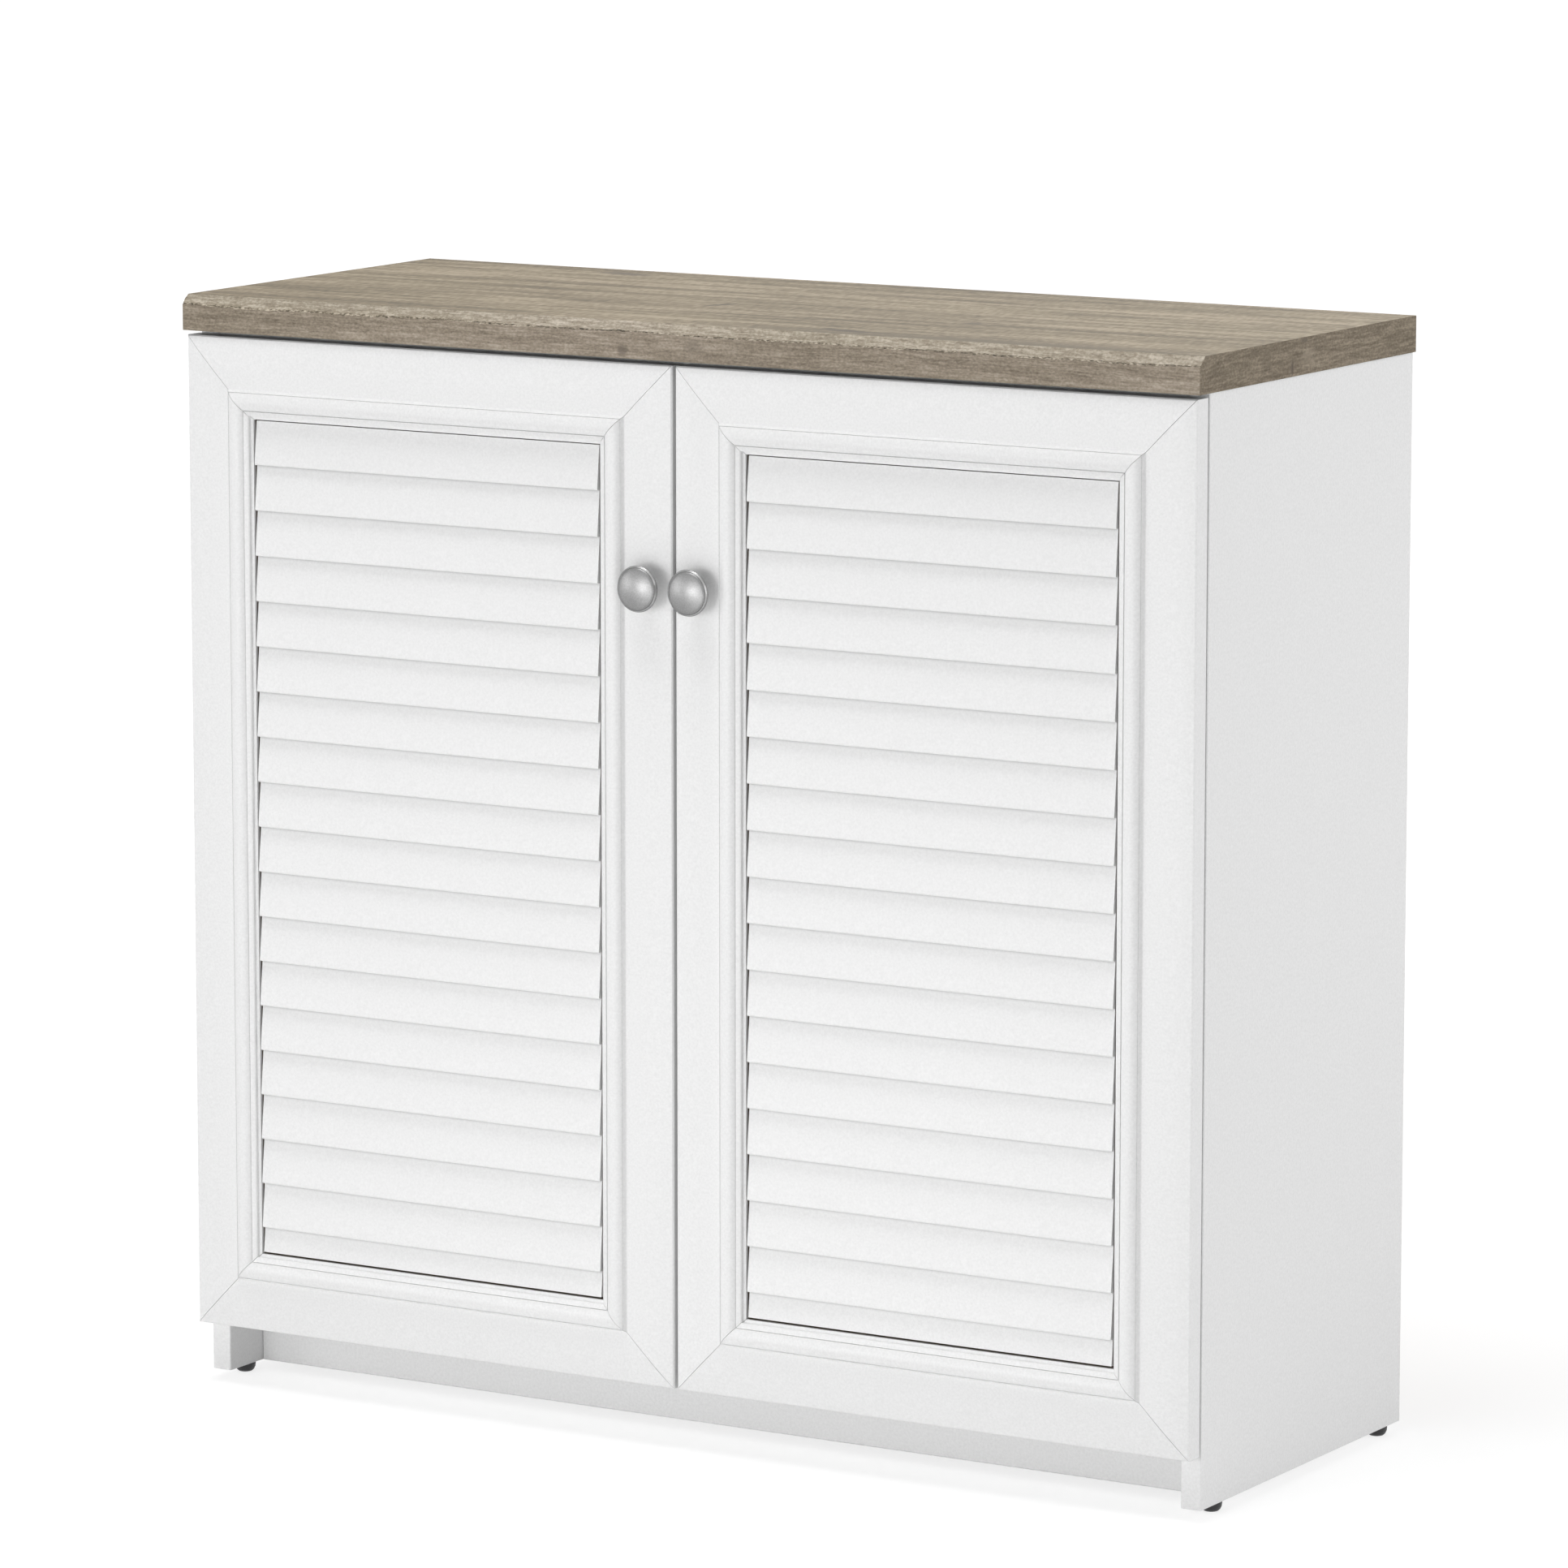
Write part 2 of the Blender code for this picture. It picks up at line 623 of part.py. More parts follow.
def add_louvre_panel(side_name, material, axis):
    """A solid louvred panel with a tongue round its back that sits in the frame's groove."""
    side = SIDES[side_name]
    tongue = MEMBER_WIDTH - GROOVE_DEPTH + GAP
    back = SECTION_BACK + BACK_LIP + GAP
    front = SECTION_BACK + BACK_LIP + GROOVE_WIDTH - GAP
    low = MEMBER_WIDTH + PANEL_BOTTOM_GAP
    high = DOOR_HEIGHT - MEMBER_WIDTH - PANEL_TOP_GAP
    left = MEMBER_WIDTH + PANEL_SIDE_GAP
    width = DOOR_WIDTH - 2 * left
    bm = bmesh.new()

    def corner(up, forward):
        return bm.verts.new(door_vector(side, left, up, forward))

    low_back, high_back = corner(tongue, back), corner(DOOR_HEIGHT - tongue, back)
    low_front, high_front = corner(tongue, front), corner(DOOR_HEIGHT - tongue, front)
    low_root, high_root = corner(low, front), corner(high, front)
    slats = [corner(high - below, forward) for below, forward in louvre_outline(high - low)]
    slab = bm.faces.new([low_back, low_front, low_root, high_root, high_front, high_back])
    face = bm.faces.new([high_root, *slats, low_root])
    pushed = bmesh.ops.extrude_face_region(bm, geom=[slab, face])
    moved = [item for item in pushed["geom"] if isinstance(item, bmesh.types.BMVert)]
    bmesh.ops.translate(bm, verts=moved, vec=door_vector(side, width, 0, 0))
    bm.normal_update()
    far_slab = next(
        item for item in pushed["geom"] if isinstance(item, bmesh.types.BMFace) and len(item.verts) == 6
    )
    for end, direction in ((slab, -1), (far_slab, 1)):
        grown = bmesh.ops.extrude_discrete_faces(bm, faces=[end])
        verts = grown["faces"][0].verts
        bmesh.ops.translate(bm, verts=verts, vec=door_vector(side, direction * (left - tongue), 0, 0))
    name = side_name + "_door_louvre_panel"
    add_piece(name, finish_mesh(name, bm), door_place(side, 0, 0), material, axis)


def knob_mesh():
    """A mushroom knob: waisted neck, flared underside, thin rim and a shallow domed face."""
    bore = SCREW_RADIUS + GAP
    rim_top = KNOB_RIM_HEIGHT
    rim_low = rim_top - KNOB_RIM_EDGE
    neck_high = rim_low / 2
    waist = KNOB_BASE_RADIUS - KNOB_NECK_RADIUS
    neck = [
        (KNOB_BASE_RADIUS - waist * math.sin(math.pi * share), neck_high * share)
        for share in NECK_SHARES
    ]
    flare = arc((0, 0), 1, 0, 90, 4)[1:]
    under = [
        (
            KNOB_BASE_RADIUS + (KNOB_RADIUS - KNOB_BASE_RADIUS) * out,
            rim_low - (rim_low - neck_high) * low,
        )
        for low, out in flare
    ]
    dome_edge = rim_top + KNOB_DOME_STEP
    dome_radius = (KNOB_DOME_RADIUS**2 + KNOB_DOME_RISE**2) / (2 * KNOB_DOME_RISE)
    dome_base = dome_edge + KNOB_DOME_RISE - dome_radius
    dome = []
    for share in DOME_SHARES:
        radius = KNOB_DOME_RADIUS * share
        dome.append((radius, dome_base + math.sqrt(dome_radius**2 - radius**2)))
    profile = [
        (0, KNOB_BORE_DEPTH),
        (bore, KNOB_BORE_DEPTH),
        (bore, 0),
        *neck,
        *under,
        (KNOB_RADIUS, rim_top - KNOB_RIM_EDGE / 3),
        (KNOB_RADIUS - KNOB_RIM_EDGE / 3, rim_top),
        (KNOB_DOME_RADIUS, dome_edge - KNOB_RIM_EDGE / 3),
        *dome,
        (0, dome_edge + KNOB_DOME_RISE),
    ]
    return turned_mesh("knob", profile, ROUND_STEPS, (0, -1, 0))


def knob_screw_mesh():
    """A pan-head machine screw, with its head behind the door and its shank in the knob."""
    reach = DOOR_THICKNESS + KNOB_SEAT + GAP + SCREW_GRIP
    profile = [
        (0, -SCREW_HEAD_HEIGHT),
        *[(out * SCREW_HEAD_RADIUS, -up * SCREW_HEAD_HEIGHT) for out, up in SCREW_CROWN_SHARES],
        (SCREW_HEAD_RADIUS, 0),
        (SCREW_RADIUS, 0),
        (SCREW_RADIUS, reach),
        (0, reach),
    ]
    return turned_mesh("knob_screw", profile, SMALL_STEPS, (0, -1, 0))


def add_knobs(material, screw_material, axes):
    mesh = knob_mesh()
    screw = knob_screw_mesh()
    for side_name, side in SIDES.items():
        across, up = DOOR_WIDTH - KNOB_INSET, DOOR_HEIGHT - KNOB_DROP
        axis = axes[side_name]
        add_piece(side_name + "_knob", mesh, door_place(side, across, up, KNOB_SEAT), material, axis)
        head = door_place(side, across, up, SECTION_BACK - GAP)
        add_piece(side_name + "_knob_screw", screw, head, screw_material, axis)


def cup_mesh():
    """A hinge cup with a round flange and two screw ears, centred on its own axis.

    The origin is on the back plane of the door; the cup sinks towards -Y, the ears lie along Z.
    """
    solid = [
        (0, CUP_DEPTH),
        (CUP_RADIUS, CUP_DEPTH),
        (CUP_RADIUS, -GAP),
        (FLANGE_RADIUS, -GAP),
        (FLANGE_RADIUS, -GAP - FLANGE_THICKNESS),
        (0, -GAP - FLANGE_THICKNESS),
    ]
    body = add_piece("cup_body", turned_mesh("cup", solid, ROUND_STEPS, (0, -1, 0)), (0, 0, 0), None)
    straight = EAR_REACH - EAR_RADIUS
    ends = arc((0, straight), EAR_RADIUS, 0, 180, END_STEPS)
    ends += arc((0, -straight), EAR_RADIUS, 180, 360, END_STEPS)
    ears = [(x, GAP, z) for x, z in ends]
    ear_mesh = prism_mesh("ears", ears, (0, FLANGE_THICKNESS, 0))
    hollow = [
        (0, CUP_DEPTH - CUP_FLOOR),
        (CUP_RADIUS - CUP_WALL, CUP_DEPTH - CUP_FLOOR),
        (CUP_RADIUS - CUP_WALL, -OVERRUN - FLANGE_THICKNESS),
        (0, -OVERRUN - FLANGE_THICKNESS),
    ]
    hollow_mesh = turned_mesh("hollow", hollow, ROUND_STEPS, (0, -1, 0))
    cut(body, add_piece("ear_helper", ear_mesh, (0, 0, 0), None), "UNION")
    cut(body, add_piece("hollow_helper", hollow_mesh, (0, 0, 0), None))
    return bake(body)


def hinge_pin_mesh():
    """The pivot of a hinge: a thin pin that spans the cup's hollow from wall to wall."""
    hollow = CUP_RADIUS - CUP_WALL
    offset = CUP_LAND + CUP_RADIUS - AXIS_INSET + HINGE_PIN_RADIUS
    half = math.sqrt(hollow**2 - offset**2) - GAP
    profile = [(0, -half), (HINGE_PIN_RADIUS, -half), (HINGE_PIN_RADIUS, half), (0, half)]
    return turned_mesh("hinge_pin", profile, SMALL_STEPS, (0, 0, 1))


def rounded_path(corners, radius):
    """Replaces each inner corner of a path by an arc-like bend."""
    path = [Vector(corners[0])]
    for before, here, after in zip(corners, corners[1:], corners[2:]):
        here = Vector(here)
        to_before = (Vector(before) - here).normalized()
        to_after = (Vector(after) - here).normalized()
        start, end = here + to_before * radius, here + to_after * radius
        for step in range(BEND_STEPS + 1):
            share = step / BEND_STEPS
            path.append(start.lerp(here, share).lerp(here.lerp(end, share), share))
    path.append(Vector(corners[-1]))
    return path


def strip_outline(path, thickness):
    """Outline of a strip of even thickness along a path, as a closed loop of points."""
    left, right = [], []
    for index, point in enumerate(path):
        before = path[max(index - 1, 0)]
        after = path[min(index + 1, len(path) - 1)]
        along = (after - before).normalized()
        normal = Vector((-along.y, along.x)) * thickness / 2
        left.append(point + normal)
        right.append(point - normal)
    return left + right[::-1]


def arm_part_mesh(name, corners, thickness, height):
    """A bent strip of the hinge arm, seen from above as (inboard, backwards) points."""
    outline = strip_outline(rounded_path(corners, ARM_BEND_RADIUS), thickness)
    points = [(-inboard, back, -height / 2) for inboard, back in outline]
    return prism_mesh(name, points, (0, 0, height))


def hinge_arm_mesh():
    """A right-hand cranked arm: eye on the pin, hook in the cup, neck, jog and run on its plate.

    The origin is on the hinge axis.
    """
    spine_face = AXIS_X - INNER_X + GAP + SPINE_HEIGHT
    run = spine_face + GAP + ARM_THICKNESS / 2
    panel_front = AXIS_DEPTH + DOOR_BACK_GAP
    jog_start = panel_front + GAP
    neck = [
        (NECK_INSET, ARM_BEND_RADIUS),
        (NECK_INSET, jog_start),
        (run, jog_start + ARM_JOG),
        (run, jog_start + ARM_JOG + ARM_RUN),
    ]
    body = add_piece("arm_body", arm_part_mesh("neck", neck, ARM_THICKNESS, ARM_HEIGHT), (0, 0, 0), None)
    hook = [(0, 0), (NECK_INSET, 0), (NECK_INSET, 2 * ARM_BEND_RADIUS)]
    hook_mesh = arm_part_mesh("hook", hook, HOOK_THICKNESS, HOOK_HEIGHT)
    half = HOOK_HEIGHT / 2
    eye = [(0, -half), (HINGE_EYE_RADIUS, -half), (HINGE_EYE_RADIUS, half), (0, half)]
    bore_radius = HINGE_PIN_RADIUS + GAP
    past = half + OVERRUN
    bore = [(0, -past), (bore_radius, -past), (bore_radius, past), (0, past)]
    eye_mesh = turned_mesh("eye", eye, SMALL_STEPS, (0, 0, 1))
    bore_mesh = turned_mesh("bore", bore, SMALL_STEPS, (0, 0, 1))
    cut(body, add_piece("hook_helper", hook_mesh, (0, 0, 0), None), "UNION")
    cut(body, add_piece("eye_helper", eye_mesh, (0, 0, 0), None), "UNION")
    cut(body, add_piece("bore_helper", bore_mesh, (0, 0, 0), None))
    return bake(body)


def plate_mesh():
    """A right-hand mounting plate: winged base on the panel, and a spine that carries the arm.

    The origin is on the panel's inner face, level with the panel's front edge.
    """
    straight = PLATE_REACH - PLATE_WIDTH / 2
    middle = SPINE_SETBACK + SPINE_LENGTH / 2
    ends = arc((middle, straight), PLATE_WIDTH / 2, 0, 180, END_STEPS)
    ends += arc((middle, -straight), PLATE_WIDTH / 2, 180, 360, END_STEPS)
    wings = prism_mesh("wings", [(-GAP, y, z) for y, z in ends], (-PLATE_THICKNESS, 0, 0))
    body = add_piece("plate_body", wings, (0, 0, 0), None)
    size = Vector((SPINE_HEIGHT, SPINE_LENGTH, SPINE_WIDTH))
    spine = board_mesh("spine", size)
    centre = (-GAP - SPINE_HEIGHT / 2, middle, 0)
    cut(body, add_piece("spine_helper", spine, centre, None), "UNION")
    return bake(body)


def add_hinges(material, axes):
    """Cup and pin on the door, arm and mounting plate on the side panel, two to a door."""
    cup, pin = cup_mesh(), hinge_pin_mesh()
    arm, plate = hinge_arm_mesh(), plate_mesh()
    for side_name, side in SIDES.items():
        over = side < 0
        axis = axes[side_name]
        for level, height in HINGE_HEIGHTS.items():
            prefix = side_name + "_" + level + "_hinge_"
            cup_place = door_place(side, CUP_LAND + CUP_RADIUS, height, SECTION_BACK)
            pivot = Vector((side * AXIS_X, AXIS_Y, DOOR_BOTTOM_Z + height))
            plate_place = Vector((side * INNER_X, FRONT_Y, pivot.z))
            add_piece(prefix + "cup", cup, cup_place, material, axis, over)
            add_piece(prefix + "pin", pin, pivot, material, axis, over)
            add_piece(prefix + "arm", arm, pivot, material, turned_over=over)
            add_piece(prefix + "plate", plate, plate_place, material, turned_over=over)


def add_bumpers(material, axes):
    """Soft dots behind the free corners of each door, which meet the carcass as it shuts."""
    thickness = DOOR_BACK_GAP - 2 * GAP
    flat = BUMPER_RADIUS - BUMPER_DOME
    profile = [
        (0, 0),
        (BUMPER_RADIUS, 0),
        (BUMPER_RADIUS, thickness - BUMPER_DOME),
        (flat, thickness),
        (0, thickness),
    ]
    mesh = turned_mesh("bumper", profile, SMALL_STEPS, (0, 1, 0))
    heights = {
        "lower": TOE_HEIGHT + BOARD / 2 - DOOR_RISE,
        "upper": SIDE_HEIGHT - BOARD / 2 - DOOR_RISE,
    }
    heights["upper"] = min(heights["upper"], DOOR_HEIGHT - BUMPER_RADIUS - EDGE_EASE)
    for side_name, side in SIDES.items():
        for level, height in heights.items():
            place = door_place(side, DOOR_WIDTH - BUMPER_INSET, height, SECTION_BACK - GAP)
            add_piece(side_name + "_" + level + "_bumper", mesh, place, material, axes[side_name])


def build_cabinet():
    white = make_material("white_laminate", (0.86, 0.86, 0.855), 0.42)
    door_white = make_material("white_foil", (0.87, 0.87, 0.865), 0.38)
    wood = make_material("weathered_wood", (0.33, 0.28, 0.22), 0.6)
    hardboard = make_material("white_hardboard", (0.80, 0.80, 0.79), 0.6)
    nickel = make_material("satin_nickel", (0.62, 0.61, 0.59), 0.3, 1.0)
    steel = make_material("nickel_plated_steel", (0.60, 0.60, 0.61), 0.25, 1.0)
    black = make_material("black_plastic", (0.02, 0.02, 0.022), 0.5)
    clear = make_material("clear_rubber", (0.75, 0.76, 0.77), 0.3)

    add_worktop(wood)
    add_carcass(white, hardboard)
    add_shelves(white, steel)
    add_glides(black)
    axes = {}
    for side_name, side in SIDES.items():
        add_side_panel(side_name, white)
        place = (side * AXIS_X, AXIS_Y, DOOR_BOTTOM_Z)
        axes[side_name] = add_axis(side_name + "_door_axis", place)
        add_frame(side_name, door_white, axes[side_name])
        add_louvre_panel(side_name, door_white, axes[side_name])
    add_knobs(nickel, steel, axes)
    add_hinges(steel, axes)
    add_bumpers(clear, axes)


clear_scene()
build_cabinet()
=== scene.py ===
"""Looks of a low storage cabinet: white louvred doors under a weathered wood top.

Everything is in metres, in the frame's own axes: the doors face -Y and the floor is z = 0.
"""

import json
import math

import bmesh
import bpy
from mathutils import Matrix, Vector, noise


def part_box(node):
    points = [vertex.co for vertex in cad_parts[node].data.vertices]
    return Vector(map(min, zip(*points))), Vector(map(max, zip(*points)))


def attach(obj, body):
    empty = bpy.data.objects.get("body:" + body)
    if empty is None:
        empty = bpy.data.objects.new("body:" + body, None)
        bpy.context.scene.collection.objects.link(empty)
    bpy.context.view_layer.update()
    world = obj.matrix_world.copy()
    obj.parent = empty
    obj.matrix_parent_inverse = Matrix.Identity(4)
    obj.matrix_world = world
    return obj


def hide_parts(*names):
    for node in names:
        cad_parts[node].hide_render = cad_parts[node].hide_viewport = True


MM = 0.001

# Camera, fitted to the corners of the cabinet in the photograph
CAMERA_PLACE = (2.8059, -4.6821, 1.3280)
CAMERA_TURN = math.radians(30.94)
CAMERA_TILT = math.radians(9.17)
CAMERA_LENS = 182.07
CAMERA_REACH = 100
SENSOR_WIDTH = 36

# Worktop: a hewn bevel runs along its front upper edge
BEVEL_DEPTH = 7.0 * MM
BEVEL_HEIGHT = 7.3 * MM
BEVEL_ROWS = 12
TORN_ROWS = 2
HEWN_STEP = 1.2 * MM
ARRIS = 0.35 * MM

# Slanting strokes of the tool, which die out towards the bevel's upper edge. The fractal's values
# are its dimension, the step from each octave to the next, and the number of octaves. Each pattern,
# here and below, picks its own part of the noise.
STROKE_CUT = 0.55 * MM
STROKE_LENGTH = 11 * MM
STROKE_WIDTH = 2.0 * MM
STROKE_SLANT = 1.9
STROKE_FRACTAL = (0.8, 2.1, 3)
STROKE_FADE = 4
STROKE_PATTERN = 2

# The bevel is rounded towards its left end: not at the first of these places, fully at the second
SHOULDER_RISE = 0.9 * MM
SHOULDER_ENDS = (-20 * MM, -260 * MM)

# Pits near the bevel's lower edge, and how that edge wanders and is torn along its length
PIT_DEPTH = 0.9 * MM
PIT_LENGTH = 3.4 * MM
PIT_HEIGHT = 1.5 * MM
PIT_BAND = 3.0 * MM
PIT_PATTERN = 9
EDGE_WANDER = 1.5 * MM
EDGE_WANDER_LENGTH = 75 * MM
WANDER_PATTERN = (3, 7)
EDGE_TEAR = 0.7 * MM
EDGE_TEAR_LENGTH = 4.5 * MM
TEAR_PATTERN = (11, 5)

# The worktop's strips, each with a material of its own
TOP, BEVEL, FRONT, END, TORN_EDGE, UNDERSIDE = range(6)

# Oak print on all faces: how far it sways, then length along the grain and width of the sway, the
# tint, the fibres and the pale flecks, each a chip mark that is also a painted highlight
SWAY = 12 * MM
SWAY_CELL = (190 * MM, 42 * MM)
TINT_CELL = (260 * MM, 60 * MM)
FIBRE_CELL = (20 * MM, 1.2 * MM)
# Pale flecks: chip marks in the print, and painted highlights on the hewn surface
HIGHLIGHT_FLECK_CELL = (5 * MM, 1.3 * MM)
HIGHLIGHT_FLECK_TONE = "D2C7B6"

# Marks in the print: how ragged they are, and the distances at which they start and end to show
MARK_RAG = 1.6
MARK_EDGE = (1.9, 1.1)

# Oak print, face by face: its dark, middle and light tone, then each layer's length along the
# grain, its width, its detail and its share of the tone. Flecks say how strongly the pale flecks
# show: chip marks that are painted highlights too.
# The top is seen at a flat angle, so its fibres are drawn six times as wide as real ones.
TOP_TONES = ("665A45", "8D7F67", "B3A48C")
TOP_GRAIN = (
    (500 * MM, 70 * MM, 1, 0.35),
    (260 * MM, 14 * MM, 1, 1.5),
    (80 * MM, 9 * MM, 1, 0.9),
    (24 * MM, 8 * MM, 1, 0.35),
    (7 * MM, 7 * MM, 1, 0.15),
    (2.4 * MM, 7 * MM, 0, 0.8),
)
BEVEL_TONES = ("867B6B", "A99E8D", "D0C6B7")
BEVEL_GRAIN = (
    (110 * MM, 7 * MM, 2, 0.5),
    (16 * MM, 2 * MM, 2, 1.8),
    (2.4 * MM, 1.6 * MM, 2, 1.4),
)
BEVEL_FLECKS = 0.3
# The bevel's two lowest rows are drawn far darker: a dark broken line along the bevel's lower edge
TORN_TONES = ("3A3227", "857A69", "CFC4B3")
TORN_GRAIN = (
    (60 * MM, 6 * MM, 1, 0.8),
    (9 * MM, 1.6 * MM, 2, 1.2),
    (2.6 * MM, 1.3 * MM, 1, 2.2),
)
FRONT_TONES = ("6C6052", "908474", "B4A798")
FRONT_GRAIN = (
    (420 * MM, 34 * MM, 1, 0.45),
    (110 * MM, 7 * MM, 2, 0.7),
    (24 * MM, 1.6 * MM, 2, 1.3),
    (2.2 * MM, 1.4 * MM, 1, 1.0),
)
FRONT_FLECKS = 0.12
END_TONES = ("574C3B", "766A59", "978B79")
END_GRAIN = (
    (300 * MM, 20 * MM, 1, 0.3),
    (60 * MM, 5 * MM, 2, 0.6),
    (20 * MM, 1.6 * MM, 2, 1.6),
    (2.6 * MM, 1.4 * MM, 1, 1.1),
)

# Bare fibreboard shows in the grooves round the louvred panels, but for a strip along their tops.
# Its dark brown is also painted shade, which deepens the reveals round the panels.
CORE_SETBACK = 4.0 * MM
CORE_REACH = 0.4 * MM
CORE_TOP = 6.0 * MM

# Painted shade: white foil is drawn grey in sharp inner corners, by how closed in each point is,
# in place of the shade that falls there. The grey is full where the sight round a point is open by
# CORNER_CLOSED or less. Each kind of piece says how far that sight goes, how open it may be before
# the grey is gone, and how strong the grey is.
CORNER_SAMPLES = 6
CORNER_SHADE_TONE = "7A7A7A"
CORNER_CLOSED = 0.4
MOULDING_CORNER_SHADE = (1.1 * MM, 0.72, 0.7)
LOUVRE_CORNER_SHADE = (3.2 * MM, 0.9, 0.7)

# Screws: a head's size, its rings and its cross recess as shares of that size, and the places
SCREW_RADIUS = 3.5 * MM
SCREW_HEIGHT = 1.6 * MM
SCREW_PROFILE = ((1, 0), (1, 0.35), (0.88, 0.75), (0.66, 1))
SCREW_SIDES = 24
CROSS_REACH = 0.46
CROSS_WIDTH = 0.13
CROSS_DEPTH = 0.8
CROSS_TAPER = 0.6
EAR_INSET = 7.0 * MM
WING_INSET = 9.0 * MM
WING_THICKNESS = 2.0 * MM
ARM_SCREW_SETBACKS = (10 * MM, 31 * MM)

# Nails, and how far they stand from the sides and from the ends of the back board
NAIL_RADIUS = 1.9 * MM
NAIL_HEIGHT = 0.6 * MM
NAIL_EDGE = 3.9 * MM
NAIL_END = 7.5 * MM
NAILS_ACROSS = 7
NAILS_UP = 6

# Knobs, in millimetres: radius and height of each ring of the profile, then the shallow dome, and
# the radii at which the metal turns sharply
KNOB_FOOT = ((5.0, 0), (4.7, 0.9), (4.3, 2.2), (4.2, 3.4), (4.5, 4.8), (5.3, 6.2))
KNOB_UNDERSIDE = ((6.6, 7.6), (8.6, 9.0), (11.0, 10.0), (13.4, 10.6), (15.5, 10.9))
KNOB_RIM = ((15.9, 11.05), (16.0, 11.3), (15.95, 11.6), (15.7, 12.0))
KNOB_CHAMFER = ((15.5, 12.15), (15.2, 12.7), (14.95, 13.25))
KNOB_GROOVE = ((14.85, 13.0), (14.55, 12.95))
KNOB_DOME_RADIUS = 14.3
KNOB_DOME_FOOT = 13.35
KNOB_DOME_RINGS = 9
KNOB_SIDES = 72
KNOB_SHARP_RADII = (15.5, 14.95, 14.55)

# Floor: the lamps light it as plain paper. The eye sees a darker paper with a glow of its own,
# weaker up to the first distance from the cabinet's middle and full from the second one on.
FLOOR_RADIUS = 30
FLOOR_SIDES = 96
FLOOR_PAPER = "F2F2F2"
FLOOR_SHADOW_TONE = "A2A2A2"
FLOOR_GLOW = 0.76
SHADOW_REACH = (0.9, 2.4)

# Lamps: place, the spot that each points at, side of its square, and power in watts
SKY_LIGHT = 0.23
CABINET_MIDDLE = (0, 0, 0.4)
LAMPS = {
    "overhead_softbox": ((-0.3, -0.9, 4.2), (0, -0.1, 0.4), 1.4, 69),
    "front_softbox": ((-1.0, -4.6, 0.6), CABINET_MIDDLE, 2.0, 32),
    "low_front_softbox": ((-0.5, -3.2, 0.25), (0, 0, 0.25), 1.2, 15),
    "left_softbox": ((-3.5, -3.1, 0.8), CABINET_MIDDLE, 1.8, 24),
    "right_softbox": ((3.6, 0.6, 1.4), CABINET_MIDDLE, 2.4, 56),
    "floor_reflector": ((0.3, -1.7, 0.04), (0, -0.15, 0.15), 1.0, 3.5),
    "toe_reflector": ((0, -0.9, 0.03), (0, -0.15, 0.05), 0.7, 0.75),
    "rear_softbox": ((-1.2, 3.6, 2.2), CABINET_MIDDLE, 2.0, 13),
    "far_left_softbox": ((-4.0, 1.3, 0.8), CABINET_MIDDLE, 1.6, 32),
}


def srgb(code):
    """Turns a colour such as B5A08C, as it looks on a screen, into Blender's linear values."""
    parts = [int(code[start:start + 2], 16) / 255 for start in (0, 2, 4)]
    curve = [c / 12.92 if c <= 0.04045 else ((c + 0.055) / 1.055) ** 2.4 for c in parts]
    return (*curve, 1)


def add_node(tree, kind, settings=None, inputs=None, stops=()):
    """Adds one node: its settings, its sockets' values or links, and a ramp's colour stops."""
    node = tree.nodes.new(kind)
    for name, value in (settings or {}).items():
        setattr(node, name, value)
    for name, value in (inputs or {}).items():
        if isinstance(value, bpy.types.NodeSocket):
            tree.links.new(value, node.inputs[name])
        else:
            node.inputs[name].default_value = value
    for index, (position, code) in enumerate(stops):
        elements = node.color_ramp.elements
        element = elements[index] if index < len(elements) else elements.new(position)
        element.position = position
        element.color = srgb(code)
    return node


def new_material(name):
    """An empty material, and its node tree."""
    material = bpy.data.materials.new(name)
    material.use_nodes = True
    material.node_tree.nodes.clear()
    return material, material.node_tree


def finish_surface(tree, inputs):
    """Closes a material with its one surface shader."""
    shader = add_node(tree, "ShaderNodeBsdfPrincipled", inputs=inputs)
    add_node(tree, "ShaderNodeOutputMaterial", inputs={"Surface": shader.outputs["BSDF"]})


def patches(tree, cell, detail, rough, place=None):
    """Uneven patches that measure cell, in metres, along X, Y and Z."""
    place = place or add_node(tree, "ShaderNodeTexCoord").outputs["Object"]
    scale = tuple(1 / size for size in cell)
    scaled = add_node(
        tree, "ShaderNodeMapping", inputs={"Vector": place, "Scale": scale}
    ).outputs["Vector"]
    return add_node(
        tree,
        "ShaderNodeTexNoise",
        inputs={"Vector": scaled, "Scale": 1.0, "Detail": detail, "Roughness": rough},
    )


def mottled(name, pattern, tones, relief, surface):
    """A material whose two tones come in uneven patches, most often raised a little too.

    The pattern is the patches' cell, detail and roughness, and the relief is its strength and
    height, or None. The surface has the other values of the surface shader.
    """
    material, tree = new_material(name)
    patch = patches(tree, *pattern).outputs["Fac"]
    dark, light = tones
    tone = add_node(
        tree, "ShaderNodeValToRGB", inputs={"Fac": patch}, stops=((0.3, dark), (0.7, light))
    )
    inputs = {"Base Color": tone.outputs["Color"], **surface}
    if relief:
        strength, height = relief
        bump = add_node(
            tree,
            "ShaderNodeBump",
            inputs={"Height": patch, "Strength": strength, "Distance": height},
        )
        inputs["Normal"] = bump.outputs["Normal"]
    finish_surface(tree, inputs)
    return material


